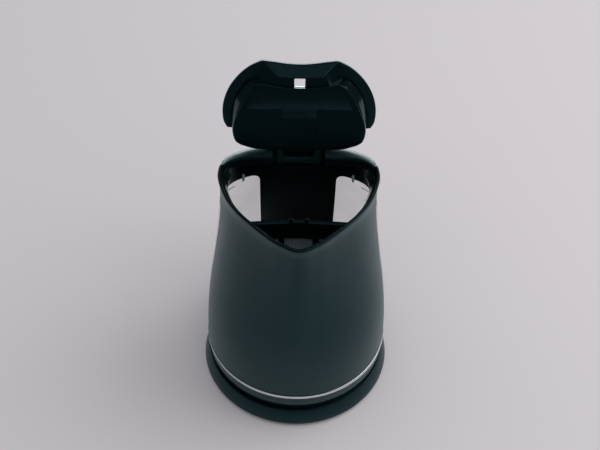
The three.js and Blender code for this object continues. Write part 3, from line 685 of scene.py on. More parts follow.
def screw_head(name, node, place, body, length):
    """A pan head with a cross recess and its shank, head towards the place's -Z."""
    outline = [(0, 0.15), (1.8, 0), (2.7, 0.35), (3, 0.9), (3, 2), (1.4, 2), (1.4, length), (0, length)]
    made = turned(name, outline, STEEL, body, 0.25, 48, node=node, slot="steel")
    for x, y in ((1.9, 0.33), (0.33, 1.9)):
        cut(made, box_cutter(-x, x, -y, y, -1, 1.1))
    made.data.transform(scaled_place(place))


def scaled_place(place):
    """A placing matrix in millimetres turned into one in metres."""
    moved = place.copy()
    moved.translation = place.translation * MM
    return moved


# ---- Power base ----
FOOT_SPREAD = 44
INLET_HALF = 7.5


def make_base():
    cover = [
        (79.3, 0.8, 0.5), (BASE_RADIUS, 2.6, 1), (78.8, 7.5, 3), (76.7, 12.4, 2.5), (75.3, 15, 0.8),
        (74.3, 15.2, 0.4), (73.7, 12.4), (71.9, 12.4), (71.3, BASE_TOP - 0.2, 0.8), (69.2, 18, 1),
        (66.5, LAND_Z, 1), (21.5, LAND_Z, 0.3), (20.8, 17, 0.3), (18, 17, 0.3), (18, 13.2), (69.4, 13.2),
        (70.4, 10), (74, 10), (75, 8.6), (77.2, 0.8),
    ]
    made = turned("base_upper_case", cover, SATIN, "power_base", node="base_cover", slot="satin_black")
    cut(made, box_cutter(-INLET_HALF, INLET_HALF, 70, 90, -1, 9.3))

    under = [(0, 0), (75.6, 0, 0.3), (76.2, 0.7, 0.3), (76.2, 2.4), (0, 2.4)]
    made = turned("base_under_plate", under, SATIN, "power_base", node="base_bottom", slot="satin_black")
    spots = {"front_left": (-1, -1), "front_right": (1, -1), "rear_left": (-1, 1), "rear_right": (1, 1)}
    for x, y in spots.values():
        cut(made, plate_cutter(circle(x * FOOT_SPREAD, y * FOOT_SPREAD, 8.3, 64), -1, 1.2))
    for number, (x, y) in enumerate(BASE_SCREWS, 1):
        cut(made, plate_cutter(circle(x, y, SCREW_RECESS), -1, 4))
        place = Matrix.Translation((x, y, 0.4))
        screw_head(f"base_case_screw_{number}", f"base_screw_{number}", place, "power_base", 11)
    cut(made, box_cutter(-INLET_HALF, INLET_HALF, 70, 90, -1, 9.3))
    for place, (x, y) in spots.items():
        make_foot(place, x * FOOT_SPREAD, y * FOOT_SPREAD)
    make_base_connector()
    make_inlet()


def make_foot(place, x, y):
    """A stick-on rubber foot with two rings moulded in its tread."""
    section = [
        (0, FOOT_LOW + 0.25), (2.6, FOOT_LOW + 0.25, 0.1), (2.9, FOOT_LOW, 0.1), (4.4, FOOT_LOW, 0.1),
        (4.7, FOOT_LOW + 0.25, 0.1), (5.6, FOOT_LOW + 0.25, 0.1), (5.9, FOOT_LOW, 0.1),
        (7.3, FOOT_LOW, 0.3), (8, FOOT_LOW + 0.7, 0.4), (8, 0.9), (0, 0.9),
    ]
    name = f"rubber_foot_{place}"
    foot = turned(name, section, RUBBER, "power_base", sides=64, node=f"foot_{place}", slot="rubber")
    foot.data.transform(Matrix.Translation((x * MM, y * MM, 0)))


def make_base_connector():
    post = [
        (0, 2.7), (24, 2.7), (24, 12.9), (16.4, 12.9), (16.4, 28, 1.2), (12.5, 28, 0.3), (12.5, 20),
        (10.5, 20), (10.5, 28, 0.3), (3.2, 28, 0.4), (3.2, 14.1), (0, 14.1),
    ]
    turned("connector_post", post, GLOSS, "power_base", 0.1, 128, node="base_connector", slot="gloss_black")
    ring = [(10.8, 20.3), (12.2, 20.3), (12.2, 20.8), (10.8, 20.8)]
    turned("post_contact_ring", ring, BRASS, "power_base", 0.1, 96, node="base_contact_ring", slot="brass")
    pin = [(0, 14.3), (2.9, 14.3), (2.9, 14.9, 0.3), (0, 14.9)]
    turned("post_contact_pin", pin, BRASS, "power_base", 0.1, 48, node="base_contact_pin", slot="brass")


def make_inlet():
    """The gland block in the rear of the base, with a flared bore for a cord."""
    stand = Matrix.Translation((0, 70.3, 4.8)) @ Matrix.Rotation(-math.pi / 2, 4, "X")
    block = skinned(plate(rounded_box(-7.2, 7.2, -4.2, 4.2, 1.2), 0, 8.2, 0.5))
    gland = piece("cord_gland", *block, RUBBER, "power_base", "base_cord_inlet", "rubber", turn=stand)
    bore = ((3.2, -5), (3.2, 6.4), (3.4, 7.4), (4.1, 8.3), (5, 9.2))
    rings = [[(x, y, z) for x, y in circle(0, 0.2, radius)] for radius, z in bore]
    cut(gland, cutter(*skinned(rings), stand))


# ---- Round connector and heater ----
def make_connector():
    housing = [
        (0, 34), (0, 32.3), (2.5, 32.3), (2.5, 28.6, 0.3), (10.7, 28.6, 0.3), (10.7, 32.3), (12.3, 32.3),
        (12.3, 28.6, 0.3), (17.2, 28.6), (17.2, 19, 0.6), (24, 19, 0.8), (24, 34, 0.5),
    ]
    name = "kettle_connector"
    turned("connector_housing", housing, GLOSS, "connector", 0.1, 128, node=name, slot="gloss_black")
    ring = [(11, 21.1), (12, 21.1), (12, 32), (11, 32)]
    turned("contact_sleeve", ring, BRASS, "connector", 0.2, 96, node="connector_ring", slot="brass")
    pin = [(0, 15.2), (2.2, 15.2, 1.2), (2.2, 32), (0, 32)]
    turned("contact_pin", pin, BRASS, "connector", 0.3, 48, node="connector_pin", slot="brass")


def make_heater():
    dish = [
        (0, 44), (60, 44, 1.5), (63, 42.5, 1), (68.5, 42.5, 0.3), (68.5, 41.3, 0.3), (62.2, 41.3, 1),
        (59.4, 42.8, 1), (0, 42.8),
    ]
    turned("heating_disc", dish, STEEL, "kettle", 0, 192, node="heating_plate", slot="steel")
    seal = [(64.3, 42.8), (68.5, 42.8), (68.5, 44.7), (64.3, 44.7)]
    turned("disc_seal", seal, RUBBER, "kettle", 0.4, 192, node="plate_seal", slot="grey_nylon")
    for number, (x, y) in enumerate(COVER_SCREWS, 1):
        place = Matrix.Translation((x, y, 23.4))
        screw_head(f"skirt_screw_{number}", f"cover_screw_{number}", place, "kettle", 11)


# ---- Collar, deck and filter ----
COLLAR_END_Y = 27


def make_collar():
    """The moulded band inside the rim, on which the closed lid rests."""
    start = 0.0
    while body_point(start, 193, -3.9)[1] < COLLAR_END_Y:
        start += 0.002
    section = [(-2.9, 188), (-2.9, 198.6), (-4.6, 198.6, 0.7), (-6.6, 190.4, 1.2), (-6.4, 188, 0.5)]
    section = filleted(section, 0.2, 5)
    rings = []
    for i in range(193):
        phi = (i / 192 * 2 - 1) * start
        rings.append([body_point(phi, z, offset) for offset, z in section])
    piece("rim_inner_collar", *skinned(rings), GLOSS, "kettle", "rim_collar", "gloss_black")


DECK_FRONT_Y = 34.6
DECK_SWEEP_X = 30


def deck_front(x):
    """The deck's front edge: straight in the middle and swept forwards at its ends."""
    return DECK_FRONT_Y - 8.3 * (max(0, abs(x) - DECK_SWEEP_X) / 29) ** 3


def behind_front(z, offset, inset, half=None, swell=0):
    """A ring bounded by a front edge and the wall behind it, anticlockwise from the left."""
    if half is None:
        end = math.pi / 2
        while body_point(end, z, offset)[1] < deck_front(body_point(end, z, offset)[0]) + inset:
            end += 0.001
        x_end = body_point(end, z, offset)[0]
    else:
        x_end, end = half, math.pi / 2
        while body_point(end, z, offset)[0] > x_end:
            end += 0.001
    front = [x_end * (i / 48 * 2 - 1) for i in range(1, 48)]
    front = [(x, deck_front(x) + inset) for x in front]
    if half is not None:
        front = [(-half, DECK_FRONT_Y + inset)] + front + [(half, DECK_FRONT_Y + inset)]
    wall = []
    for i in range(97):
        phi = end + (2 * math.pi - 2 * end) * i / 96
        out = offset + swell * min(1, 6.4 * i / 96 * (1 - i / 96))
        wall.append(body_point(phi if phi <= math.pi else phi - 2 * math.pi, z, out)[:2])
    return [(x, y, z) for x, y in front + wall]


# Height and set-back of the deck's front: a lower edge, a recess, and the underside of the step above.
DECK_FACE = [(194, 0.6), (194.15, 0.2), (194.5, 0.02), (196.8, 0.1), (197.1, 0.5), (199.6, 0.6), (200.3, 0.5)]
DECK_FACE += [(200.7, 0.2), (200.85, -0.3), (201, -0.7)]
SHOULDER_LOW, SHOULDER_HIGH = 201, 203.6
SHOULDER_WIDTH = 8
SHOULDER_PROUD = 1.2


def make_deck():
    """The fixed rear part of the top, with the pocket that holds the lid's hinge."""
    offset = -WALL - GAP
    rings = [behind_front(z, offset, inset) for z, inset in DECK_FACE]
    for rise, back in quarter(12):
        z = SHOULDER_LOW + 0.05 + (SHOULDER_HIGH - SHOULDER_LOW) * rise
        inset = -0.8 + 0.7 * max(0, 1 - (SHOULDER_HIGH - z) / 0.7) ** 2
        rings.append(behind_front(z, -SHOULDER_WIDTH * back, inset, swell=SHOULDER_PROUD))
    deck = piece("rear_top_deck", *skinned(rings), SATIN, "kettle", "rear_deck", "satin_black")
    hollow = [behind_front(z, offset - 2.4, 3) for z in (180, 190, 195, SHOULDER_LOW - 1.5)]
    cut(deck, cutter(*skinned(hollow)))
    half = POCKET_HALF_WIDTH + 3
    heights = [DECK_LOW + (DECK_SKIRT_Z + 1 - DECK_LOW) * i / 4 for i in range(5)]
    block = [behind_front(z, offset, 0.05, half) for z in heights]
    block += [behind_front(z, offset, inset + 0.05, half) for z, inset in DECK_FACE[4:]]
    cut(deck, cutter(*skinned(block)), "UNION")
    cut(deck, box_cutter(-POCKET_HALF_WIDTH, POCKET_HALF_WIDTH, 0, 60, 190, 215))
    bore = Matrix.Translation((0, HINGE_Y, HINGE_Z)) @ Matrix.Rotation(math.pi / 2, 4, "Y")
    cut(deck, plate_cutter(circle(0, 0, 1.6, 32), -30, 30, turn=bore))
    deck.data.materials.append(GLOSS)
    for face in deck.data.polygons:
        if face.center.z / MM < SHOULDER_LOW - 0.05 or face.normal.x**2 > 0.8 and face.center.y / MM < 46:
            face.material_index = 1
    pin = [(0, -23.3), (1.3, -23.3, 0.5), (1.3, 23.3, 0.5), (0, 23.3)]
    rod = turned("lid_hinge_pin", pin, DARK_STEEL, "kettle", 0, 48, node="hinge_pin", slot="steel")
    rod.data.transform(scaled_place(bore))


def filter_arc(x):
    """The filter's middle line: a shallow arc across the spout channel."""
    return FILTER_Y - 2.2 * (x / 40) ** 2


def bar_along_arc(section, half=60, steps=96):
    """A bar that follows the filter's arc, with a section of (depth, height) points."""
    places = [half * (2 * i / steps - 1) for i in range(steps + 1)]
    return skinned([[(x, filter_arc(x) + depth, z) for depth, z in section] for x in places])


def make_filter():
    head = [(-1.9, PANE_HIGH + 2), (2.4, PANE_HIGH + 2), (2.4, FILTER_TOP, 1.1), (-1.9, FILTER_TOP, 1.1)]
    web = [(-1.2, FILTER_LOW), (1.2, FILTER_LOW), (1.2, FILTER_TOP - 4), (-1.2, FILTER_TOP - 4)]
    ledge = [(-1.2, 179.6), (4, 179.6, 0.6), (4, 181.2, 0.6), (-1.2, 181.2)]
    bar = bar_along_arc(filleted(head, 0.6, 5))
    frame_piece = piece("spout_filter_frame", *bar, GLOSS, "kettle", "filter_frame", "gloss_black")
    cut(frame_piece, cutter(*bar_along_arc(filleted(web, 0.5))), "UNION")
    cut(frame_piece, cutter(*bar_along_arc(filleted(ledge, 0.3))), "UNION")
    for x0, x1 in PANE_EDGES.values():
        cut(frame_piece, cutter(*along_y(rounded_box(x0, x1, PANE_LOW, PANE_HIGH, 1.2), -60, 0)))
    cut(frame_piece, form_tool(120, 200, -WALL - GAP - 0.2), "INTERSECT")
    prongs = [(-7.5, 186), (7.5, 186), (7.5, 192.6, 1), (4.6, 192.6, 1), (4.6, 188.9, 0.6)]
    prongs += [(-4.6, 188.9, 0.6), (-4.6, 192.6, 1), (-7.5, 192.6, 1)]
    cut(frame_piece, cutter(*along_y(filleted(prongs, 0.2), FILTER_Y - 2.3, FILTER_Y - 1)), "UNION")
    soften(frame_piece, 0.22)
    for place, edges in PANE_EDGES.items():
        make_filter_mesh(place, *edges)


MESH_PITCH = 1.15
WIRE = 0.17
WEAVE = 0.12  # how far a wire moves to either side of the filter's middle line


def wire(points, across):
    """A square wire along the points, as thick across the weave as through it."""
    through = Vector((0, WIRE, 0))
    corners = (through, across, -through, -across)
    return skinned([[tuple(Vector(point) + corner) for corner in corners] for point in points])


def make_filter_mesh(place, x0, x1):
    """Woven nylon: each wire passes in front of and behind the ones that cross it."""
    x0, x1, low, high = x0 + GAP, x1 - GAP, PANE_LOW + GAP, PANE_HIGH - GAP
    columns = round((x1 - x0) / MESH_PITCH)
    rows = round((high - low) / MESH_PITCH)
    xs = [x0 + WIRE + (x1 - x0 - 2 * WIRE) * i / columns for i in range(columns + 1)]
    zs = [low + WIRE + (high - low - 2 * WIRE) * i / rows for i in range(rows + 1)]
    wires = []
    for i, x in enumerate(xs):
        line = [(x, filter_arc(x) + WEAVE * (-1) ** (i + j), z) for j, z in enumerate(zs)]
        wires.append(wire(line, Vector((WIRE, 0, 0))))
    for j, z in enumerate(zs):
        line = [(x, filter_arc(x) - WEAVE * (-1) ** (i + j), z) for i, x in enumerate(xs)]
        wires.append(wire(line, Vector((0, 0, WIRE))))
    piece(f"filter_weave_{place}", *joined(wires), GREY_NYLON, "kettle", f"filter_mesh_{place}", "grey_nylon")


HOOK_PHI = math.pi / 2 + 0.72
HOOK_LEVELS = [(172, 0.8, 0.5), (172.6, 1.5, 0.7), (176.2, 1.9, 0.8), (179, 1.5, 0.8), (180, 0.7, 0.6)]


def make_window_hooks():
    """The small moulded hook that holds the top of each window, inside the wall."""
    for side, name in ((-1, "left"), (1, "right")):
        rings = []
        for z, depth, half in HOOK_LEVELS:
            near = Vector(body_point(HOOK_PHI, z, -WALL + 0.3))
            far = Vector(body_point(HOOK_PHI, z, -WALL - depth))
            across = Vector((math.cos(HOOK_PHI), math.sin(HOOK_PHI), 0)) * half
            corners = [near - across, near + across, far + across, far - across]
            rings.append([(x, y, z) for x, y in filleted([(c.x * side, c.y) for c in corners], 0.4)])
        piece(f"window_hook_{name}", *skinned(rings), GREY_NYLON, "kettle", slot="grey_nylon")


# ---- Handle ----
HANDLE_LINE = [
    (42, 190.5), (62, 190.5), (84, 188), (99, 178), (106, 160), (107, 135), (106, 108), (102, 84),
    (94, 66), (80, 55), (66, 51),
]
HANDLE_HALF_WIDTH = 14
HANDLE_HALF_DEPTH = 10
HANDLE_WALL = 2.4
SWITCH_T = 0.735
LENS_T = 0.6


def centripetal(p0, p1, p2, p3, t):
    d0, d1, d2 = (max((b - a).length ** 0.5, 1e-4) for a, b in ((p0, p1), (p1, p2), (p2, p3)))
    m1 = ((p1 - p0) / d0 - (p2 - p0) / (d0 + d1) + (p2 - p1) / d1) * d1
    m2 = ((p2 - p1) / d1 - (p3 - p1) / (d1 + d2) + (p3 - p2) / d2) * d1
    return p1 + m1 * t + (3 * (p2 - p1) - 2 * m1 - m2) * t * t + (2 * (p1 - p2) + m1 + m2) * t**3


def run_along(line, steps):
    """Close points on a smooth line through all but the first and last, and the length run at each."""
    points = []
    for i in range(len(line) - 3):
        points += [centripetal(*line[i : i + 4], k / steps) for k in range(steps)]
    points.append(line[-2])
    run = [0.0]
    for a, b in zip(points, points[1:]):
        run.append(run[-1] + (b - a).length)
    return points, run


def trace_handle():
    line = [Vector(p) for p in HANDLE_LINE]
    return run_along([2 * line[0] - line[1]] + line + [2 * line[-1] - line[-2]], 40)


HANDLE_POINTS, HANDLE_RUN = trace_handle()


def handle_place(t):
    """Middle point and direction of the handle's line, both in Y and Z, at t from 0 to 1."""
    want = min(max(t, 0), 1) * HANDLE_RUN[-1]
    i = 0
    while i < len(HANDLE_RUN) - 2 and HANDLE_RUN[i + 1] < want:
        i += 1
    step = (want - HANDLE_RUN[i]) / (HANDLE_RUN[i + 1] - HANDLE_RUN[i])
    a, b = HANDLE_POINTS[i], HANDLE_POINTS[i + 1]
    before = HANDLE_POINTS[max(i - 1, 0)]
    after = HANDLE_POINTS[min(i + 2, len(HANDLE_POINTS) - 1)]
    direction = ((b - before).normalized() * (1 - step) + (after - a).normalized() * step).normalized()
    return a + (b - a) * step, direction


def handle_point(t, u, v):
    """A point of the handle: t along its line, u across it and v outwards from the body."""
    place, direction = handle_place(t)
    return Vector((u, place.x - direction.y * v, place.y + direction.x * v))


def handle_frame(t, v=0.0):
    """Matrix at t with X across, Y up along the handle and Z outwards."""
    direction = handle_place(t)[1]
    along = Vector((0, -direction.x, -direction.y))
    outward = Vector((0, -direction.y, direction.x))
    across = along.cross(outward)
    frame_at = Matrix((across, along, outward)).transposed().to_4x4()
    frame_at.translation = handle_point(t, 0, v)
    return frame_at


def handle_section(side):
    steps = 24

    def curve(width, depth):
        points = []
        for i in range(steps + 1):
            angle = i / steps * math.pi
            u = math.copysign(width * abs(math.cos(angle)) ** 0.75, math.cos(angle))
            points.append((u, side * (0.15 + depth * max(0, math.sin(angle)) ** 0.75)))
        return points

    outer = curve(HANDLE_HALF_WIDTH, HANDLE_HALF_DEPTH)
    inner = curve(HANDLE_HALF_WIDTH - HANDLE_WALL, HANDLE_HALF_DEPTH - HANDLE_WALL)
    outer[0] = (outer[0][0] - 0.35, outer[0][1])
    outer[-1] = (outer[-1][0] + 0.35, outer[-1][1])
    return outer + inner[::-1]


def make_handle_half(name, node, side, material, slot):
    rows = 150
    rings = [[tuple(handle_point(i / rows, u, v)) for u, v in handle_section(side)] for i in range(rows + 1)]
    made = piece(name, *skinned(rings), material, "kettle", node, slot)
    cut(made, form_tool(SHELL_LOW - 5, RIM_Z, WINDOW_PROUD + GAP, 24))
    return made


def make_handle():
    outer = make_handle_half("handle_outer_shell", "handle_shell", 1, SATIN, "satin_black")
    slot_plan = rounded_box(-6.3, 6.3, -5.2, 5.2, 1.2)
    cut(outer, plate_cutter(slot_plan, 0, 20, turn=handle_frame(SWITCH_T)))
    cut(outer, plate_cutter(circle(0, 0, 2.6), 4, 16, turn=handle_frame(LENS_T)))
    grip = make_handle_half("handle_inner_grip", "handle_grip", -1, GRIP, "rubber")
    for place, t in (("top", 0.2), ("bottom", 0.82)):
        cut(grip, plate_cutter(circle(0, 0, SCREW_RECESS), -14, -3, turn=handle_frame(t)))
        spot = handle_frame(t, -HANDLE_HALF_DEPTH + 0.6)
        screw_head(f"grip_screw_{place}", f"handle_screw_{place}", spot, "kettle", 15)
    lens = [(0, 7.4), (2.3, 7.4), (2.3, 9.9, 0.5), (1.6, 10.35, 0.6), (0, 10.5)]
    made = turned("on_light", lens, LENS, "kettle", 0.1, 48, node="indicator_lens", slot="red_lens")
    made.data.transform(scaled_place(handle_frame(LENS_T)))


SWITCH_PIVOT_V = 3.6
SWITCH_REST = math.radians(-7)


def make_switch():
    """The rocker: a pivot, a stem and a rounded tip with three moulded ribs."""
    place = handle_frame(SWITCH_T, SWITCH_PIVOT_V) @ Matrix.Rotation(SWITCH_REST, 4, "X")
    half = 5.6
    pivot = [(0, -half), (2.2, -half, 0.3), (2.2, half, 0.3), (0, half)]
    lever = turned("switch_rocker", pivot, GLOSS, "switch", 0, 48, node="switch_lever", slot="gloss_black")
    lever.data.transform(Matrix.Rotation(math.pi / 2, 4, "Y"))
    cut(lever, plate_cutter(rounded_box(-half, half, -1.4, 1.4, 0.5), 0, 8.5, 0.05), "UNION")
    cut(lever, plate_cutter(rounded_box(-half, half, -2.4, 2.4, 1.1, 6), 7.6, 12.4, 0.8, 5), "UNION")
    for x in (-2.4, 0, 2.4):
        cut(lever, plate_cutter(rounded_box(x - 0.35, x + 0.35, -1.7, 1.7, 0.3), 12, 12.6, 0.15), "UNION")
    lever.data.transform(scaled_place(place))


# ---- Lid, worked out closed and then swung open about its hinge ----
LID_TURN = (
    Matrix.Translation((0, HINGE_Y, HINGE_Z))
    @ Matrix.Rotation(-OPEN_ANGLE, 4, "X")
    @ Matrix.Translation((0, -HINGE_Y, -HINGE_Z))
)
LID_CENTRE_Y = -4
FLANGE_FRONT = [(0, -35), (10, -35.6), (20, -37), (29.4, -38.1)]
FLANGE_SIDE = [
    (29.4, -38.1), (37.9, -33.7), (46, -27.1), (53.8, -17.2), (58.3, -7.2), (60.1, 2.9), (59.2, 13.1),
    (56.6, 17.8),
]
FLANGE_REAR = [(56.6, 17.8), (53, 18.2), (30, 18.2), (0, 18.2)]
BOX_FRONT = [(0, -20.1), (12, -20.6), (24, -22.6), (33, -24.6)]
BOX_SIDE = [
    (33, -24.6), (38.5, -22.8), (42.9, -18.6), (48.5, -10.6), (51.6, -2), (53.2, 7), (53, 15), (52, 21),
    (50.2, 25.2), (46, 28.2),
]
BOX_REAR = [(46, 28.2), (35, 31.4), (21, 32.6), (10, 33.4), (0, 33.8)]
FLOOR_FRONT = [(0, -20.1), (12, -20.6), (24, -22.6), (31.8, -23.9)]
FLOOR_SIDE = [
    (31.8, -23.9), (35.6, -20.6), (39.2, -15.6), (43.8, -8.2), (47.4, -0.2), (50.6, 7.6), (51.9, 15),
    (51.2, 20.8), (49.4, 24.8), (45.4, 27.6),
]
FLOOR_REAR = [(45.4, 27.6), (34.6, 30.8), (20.8, 31.9), (10, 32.6), (0, 33)]


def smooth_chain(points, steps):
    """A smooth line through the points, resampled to equal steps along it."""
    line = [Vector(p) for p in points]
    first = Vector((-line[1].x, line[1].y)) if abs(line[0].x) < 1e-6 else 2 * line[0] - line[1]
    last = Vector((-line[-2].x, line[-2].y)) if abs(line[-1].x) < 1e-6 else 2 * line[-1] - line[-2]
    line = [first] + line + [last]
    dense, run = run_along(line, 16)
    chain, i = [], 0
    for k in range(steps + 1):
        want = run[-1] * k / steps
        while i < len(run) - 2 and run[i + 1] < want:
            i += 1
        part = (want - run[i]) / (run[i + 1] - run[i])
        chain.append(tuple(dense[i] + (dense[i + 1] - dense[i]) * part))
    return chain


def whole_outline(front, side, rear, round_front=0.0):
    """Both halves of a plan outline, anticlockwise from the middle of its front."""
    half = smooth_chain(front, 20)[:-1] + smooth_chain(side, 48)[:-1] + smooth_chain(rear, 28)
    if round_front:
        corner = 20
        reach = 3
        a, b, c = (Vector(half[i]) for i in (corner - reach, corner, corner + reach))
        for k in range(-reach, reach + 1):
            t = (k + reach) / (2 * reach)
            arc = a * (1 - t) ** 2 + b * 2 * t * (1 - t) + c * t * t
            half[corner + k] = tuple(Vector(half[corner + k]) * (1 - round_front) + arc * round_front)
    left = [(-x, y) for x, y in half[1:-1]]
    return half + left[::-1]


FLANGE = whole_outline(FLANGE_FRONT, FLANGE_SIDE, FLANGE_REAR, 0.3)
BOX = whole_outline(BOX_FRONT, BOX_SIDE, BOX_REAR, 1)
FLOOR = whole_outline(FLOOR_FRONT, FLOOR_SIDE, FLOOR_REAR, 1)


def lid_ring(outline, z, scale=1.0, lean=0.0, inset=0.0):
    ring = []
    for x, y, _z in shrunk(outline, inset, 0):
        y = LID_CENTRE_Y + (y - LID_CENTRE_Y) * scale
        ring.append((x * scale, y - lean * smoothstep(y, 13, 19), z))
    return ring


def between(start, end, t):
    """The outline a part t of the way from one outline to another."""
    return [(a[0] * (1 - t) + b[0] * t, a[1] * (1 - t) + b[1] * t) for a, b in zip(start, end)]


def swing_open(made):
    """Turns a lid piece, made closed, about the hinge once its cuts are done."""
    made.data.transform(scaled_place(LID_TURN))


def make_lid_cover():
    base = LID_FLANGE_Z
    rings = [lid_ring(FLANGE, base + 0.7 * rise, inset=0.7 * (1 - out)) for out, rise in quarter(4)]
    rings.append(lid_ring(FLANGE, base + 1.3))
    steps = 26
    for k in range(1, steps + 1):
        t = k / steps
        scale = 1 - 0.985 * t**1.9
        rise = 1.3 + 7.1 * math.sin(t * math.pi / 2) ** 0.62
        rings.append(lid_ring(FLANGE, base + min(rise, 8.3), scale))
    cover = piece("lid_outer_cover", *skinned(rings), SATIN, "lid", "lid_cover", "satin_black")
    cavity = ((-1, 1.012), (1.8, 1.005), (3, 0.9), (4.4, 0.7), (5.2, 0.4))
    hole = cutter(*skinned([lid_ring(BOX, base + rise, scale) for rise, scale in cavity]))
    cut(hole, box_cutter(-90, 90, -90, 16, 180, 230), "INTERSECT")
    cut(cover, hole)
    section = ((-2, 4.7, 0.3), (-1.6, 4.7, 0), (-0.4, 5.2, 0), (0.2, 5.4, 0.5))
    strip = [lid_ring(BOX, DECK_TOP + rise, 1, lean, inset) for rise, lean, inset in section]
    strip = cutter(*skinned(strip))
    cut(strip, box_cutter(-90, 90, 17.9, 60, 180, base - 0.5), "INTERSECT")
    cut(cover, strip, "UNION")
    cut(cover, box_cutter(-48, 48, 16.2, 19.4, DECK_TOP - 1.2, base + 1), "UNION")
    slot = rounded_box(-SLOT_HALF_WIDTH - 0.2, SLOT_HALF_WIDTH + 0.2, -28, -13.5, 0.8)
    cut(cover, plate_cutter(slot, 180, 230))
    swing_open(cover)


def wedge_ring(half, z):
    """A ring of the pouring lip's plan outline, with rounded corners."""
    points = half + [(-x, y) for x, y in half[::-1] if x > 0]
    return [(x, y, z) for x, y in filleted(points, 1.2, 6)]


REAR_LEAN = [(191.5, 0), (193.8, 0.3), (197.3, 3.6), (200.8, 4.6), (205.3, 5.5)]


def rear_lean(z):
    """How far the liner's rear wall stands forward of the box outline at height z."""
    for (z0, a), (z1, b) in zip(REAR_LEAN, REAR_LEAN[1:]):
        if z <= z1:
            return a + (b - a) * max(0, z - z0) / (z1 - z0)
    return REAR_LEAN[-1][1]


LIP_LOW = [(0, -27.8), (9, -28), (17.6, -28.8), (24, -21), (0, -18)]
LIP_HIGH = [(0, -34.4), (14.6, -35.4), (28.6, -37.3), (34, -21), (0, -18)]
PAD_FRONT_Y, PAD_MIDDLE_Y, PAD_REAR_Y = -16.8, -3.2, 5
PAD_HALF = 13


def make_lid_liner():
    low = LID_FLOOR_Z
    rings = [lid_ring(FLOOR, low, inset=4)]
    rings += [lid_ring(FLOOR, low + 0.9 * rise, inset=0.9 * (1 - out)) for out, rise in quarter(4)]
    top = DECK_TOP - 2.4
    for k in range(1, 13):
        z = low + 0.9 + (top - low - 0.9) * k / 12
        t = (z - low) / (top - low)
        rings.append(lid_ring(between(FLOOR, BOX, t), z, 1, rear_lean(z)))
    rings.append(lid_ring(BOX, LID_FLANGE_Z + 1.4, 1, 5.5))
    liner = piece("lid_inner_liner", *skinned(rings), GLOSS, "lid", "lid_liner", "gloss_black")
    lip_height = LID_FLANGE_Z - GAP - LID_PLATE_Z
    parts = [k / 6 for k in range(7)]
    lip = [wedge_ring(between(LIP_LOW, LIP_HIGH, t), LID_PLATE_Z + lip_height * t) for t in parts]
    cut(liner, cutter(*skinned(lip)), "UNION")
    hollow = [lid_ring(FLOOR, low + 2, 0.94, 1.5), lid_ring(BOX, LID_FLANGE_Z + 3, 0.95, 5)]
    inside = cutter(*skinned(hollow))
    cut(inside, box_cutter(-90, 90, -18.5, 60, 180, 230), "INTERSECT")
    cut(liner, inside)
    cut(liner, box_cutter(-90, 90, 14.8, 60, DECK_TOP - 2.4, 230))
    cut(liner, box_cutter(-90, 90, -90, 90, LID_FLANGE_Z + 1.2, 230))
    slot = rounded_box(-SLOT_HALF_WIDTH, SLOT_HALF_WIDTH, -27.2, -20.4, 0.6)
    cut(liner, plate_cutter(slot, 180, 230))
    cut(liner, box_cutter(-SLOT_HALF_WIDTH, SLOT_HALF_WIDTH, -27.2, -16, LID_PLATE_Z + 2, 230))
    add_pad(liner)
    swing_open(liner)


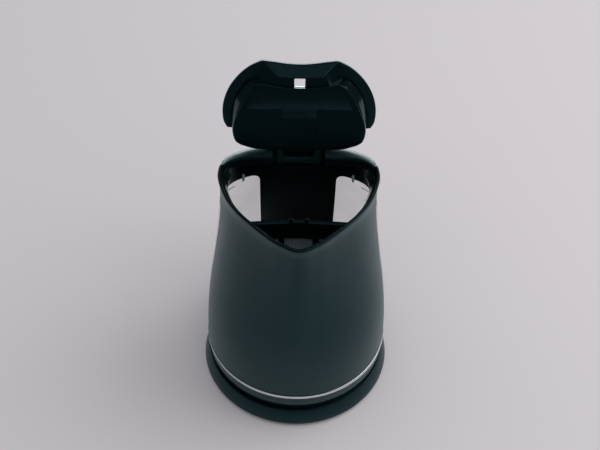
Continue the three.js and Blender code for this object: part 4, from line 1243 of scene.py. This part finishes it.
def add_pad(liner):
    """A raised satin pad on the liner's underside, with a groove down each side of its stem."""
    half = [(0, PAD_FRONT_Y), (34, PAD_FRONT_Y), (41, PAD_MIDDLE_Y)]
    half += [(PAD_HALF, PAD_MIDDLE_Y), (PAD_HALF, PAD_REAR_Y)]
    outline = half + [(-x, y) for x, y in half[:0:-1]]
    outline = filleted([p for p in outline if p[0] != 0], 1.6, 5)
    cut(liner, plate_cutter(outline, LID_FLOOR_Z - 0.25, LID_FLOOR_Z + 0.5, 0.12), "UNION")
    for side in (-1, 1):
        x = side * PAD_HALF
        groove = rounded_box(x - 0.3, x + 0.3, PAD_REAR_Y + 0.6, 28, 0.25)
        cut(liner, plate_cutter(groove, LID_FLOOR_Z - 1, LID_FLOOR_Z + 0.4))
    liner.data.materials.append(PAD)
    for face in liner.data.polygons:
        if face.center.z / MM < LID_FLOOR_Z - 0.2:
            face.material_index = 1


ARM_START_Y = 30  # the arms run on into the liner from here


def make_lid_arms():
    """The hinge barrel with a knuckle and an arm at each end."""
    inner, outer = 12.4, 17.4
    upright = Matrix.Translation((0, HINGE_Y, HINGE_Z)) @ Matrix.Rotation(math.pi / 2, 4, "Y")
    barrel = [(1.6, -outer, 0.2)]
    barrel += [(3.3, -outer, 0.5), (3.3, -inner, 0.5), (2.7, -inner), (2.7, -4.2, 0.1), (2.35, -3.8, 0.1)]
    barrel += [(2.35, 3.8, 0.1), (2.7, 4.2, 0.1), (2.7, inner), (3.3, inner, 0.5), (3.3, outer, 0.5)]
    barrel += [(1.6, outer, 0.2)]
    arms = turned("lid_hinge_barrel", barrel, SATIN, "lid", 0, 72, node="lid_hinge_arms", slot="gloss_black")
    arms.data.transform(scaled_place(upright))
    section = [(ARM_START_Y, HINGE_Z - 2.9), (HINGE_Y, HINGE_Z - 3.2)]
    section += [(HINGE_Y - 0.4, HINGE_Z + 0.2, 0.3), (ARM_START_Y, HINGE_Z + 0.2)]
    section = filleted(section, 0.2, 3)
    for x in (-outer, inner):
        arm = [[(at, y, z) for y, z in section] for at in (x, x + outer - inner)]
        cut(arms, cutter(*skinned(arm)), "UNION")
    cut(arms, plate_cutter(circle(0, 0, 1.6, 48), -30, 30, turn=upright))
    soften(arms, 0.35, math.radians(60), 3)
    swing_open(arms)


def dress_inner_parts():
    """Parts inside the handle and under the heating disc keep their CAD shape."""
    for name, material in {
        "thermostat_control": DARK_NYLON,
        "heating_element": STEEL,
        "steam_tube": GREY_NYLON,
        "steam_sensor": DARK_NYLON,
    }.items():
        for material_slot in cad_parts[name].material_slots:
            material_slot.material = material


make_camera()
make_studio()
make_shell()
make_window(-1)
make_window(1)
make_skirt_and_ring()
make_base()
make_connector()
make_heater()
make_collar()
make_deck()
make_filter()
make_window_hooks()
make_handle()
make_switch()
make_lid_cover()
make_lid_liner()
make_lid_arms()
dress_inner_parts()
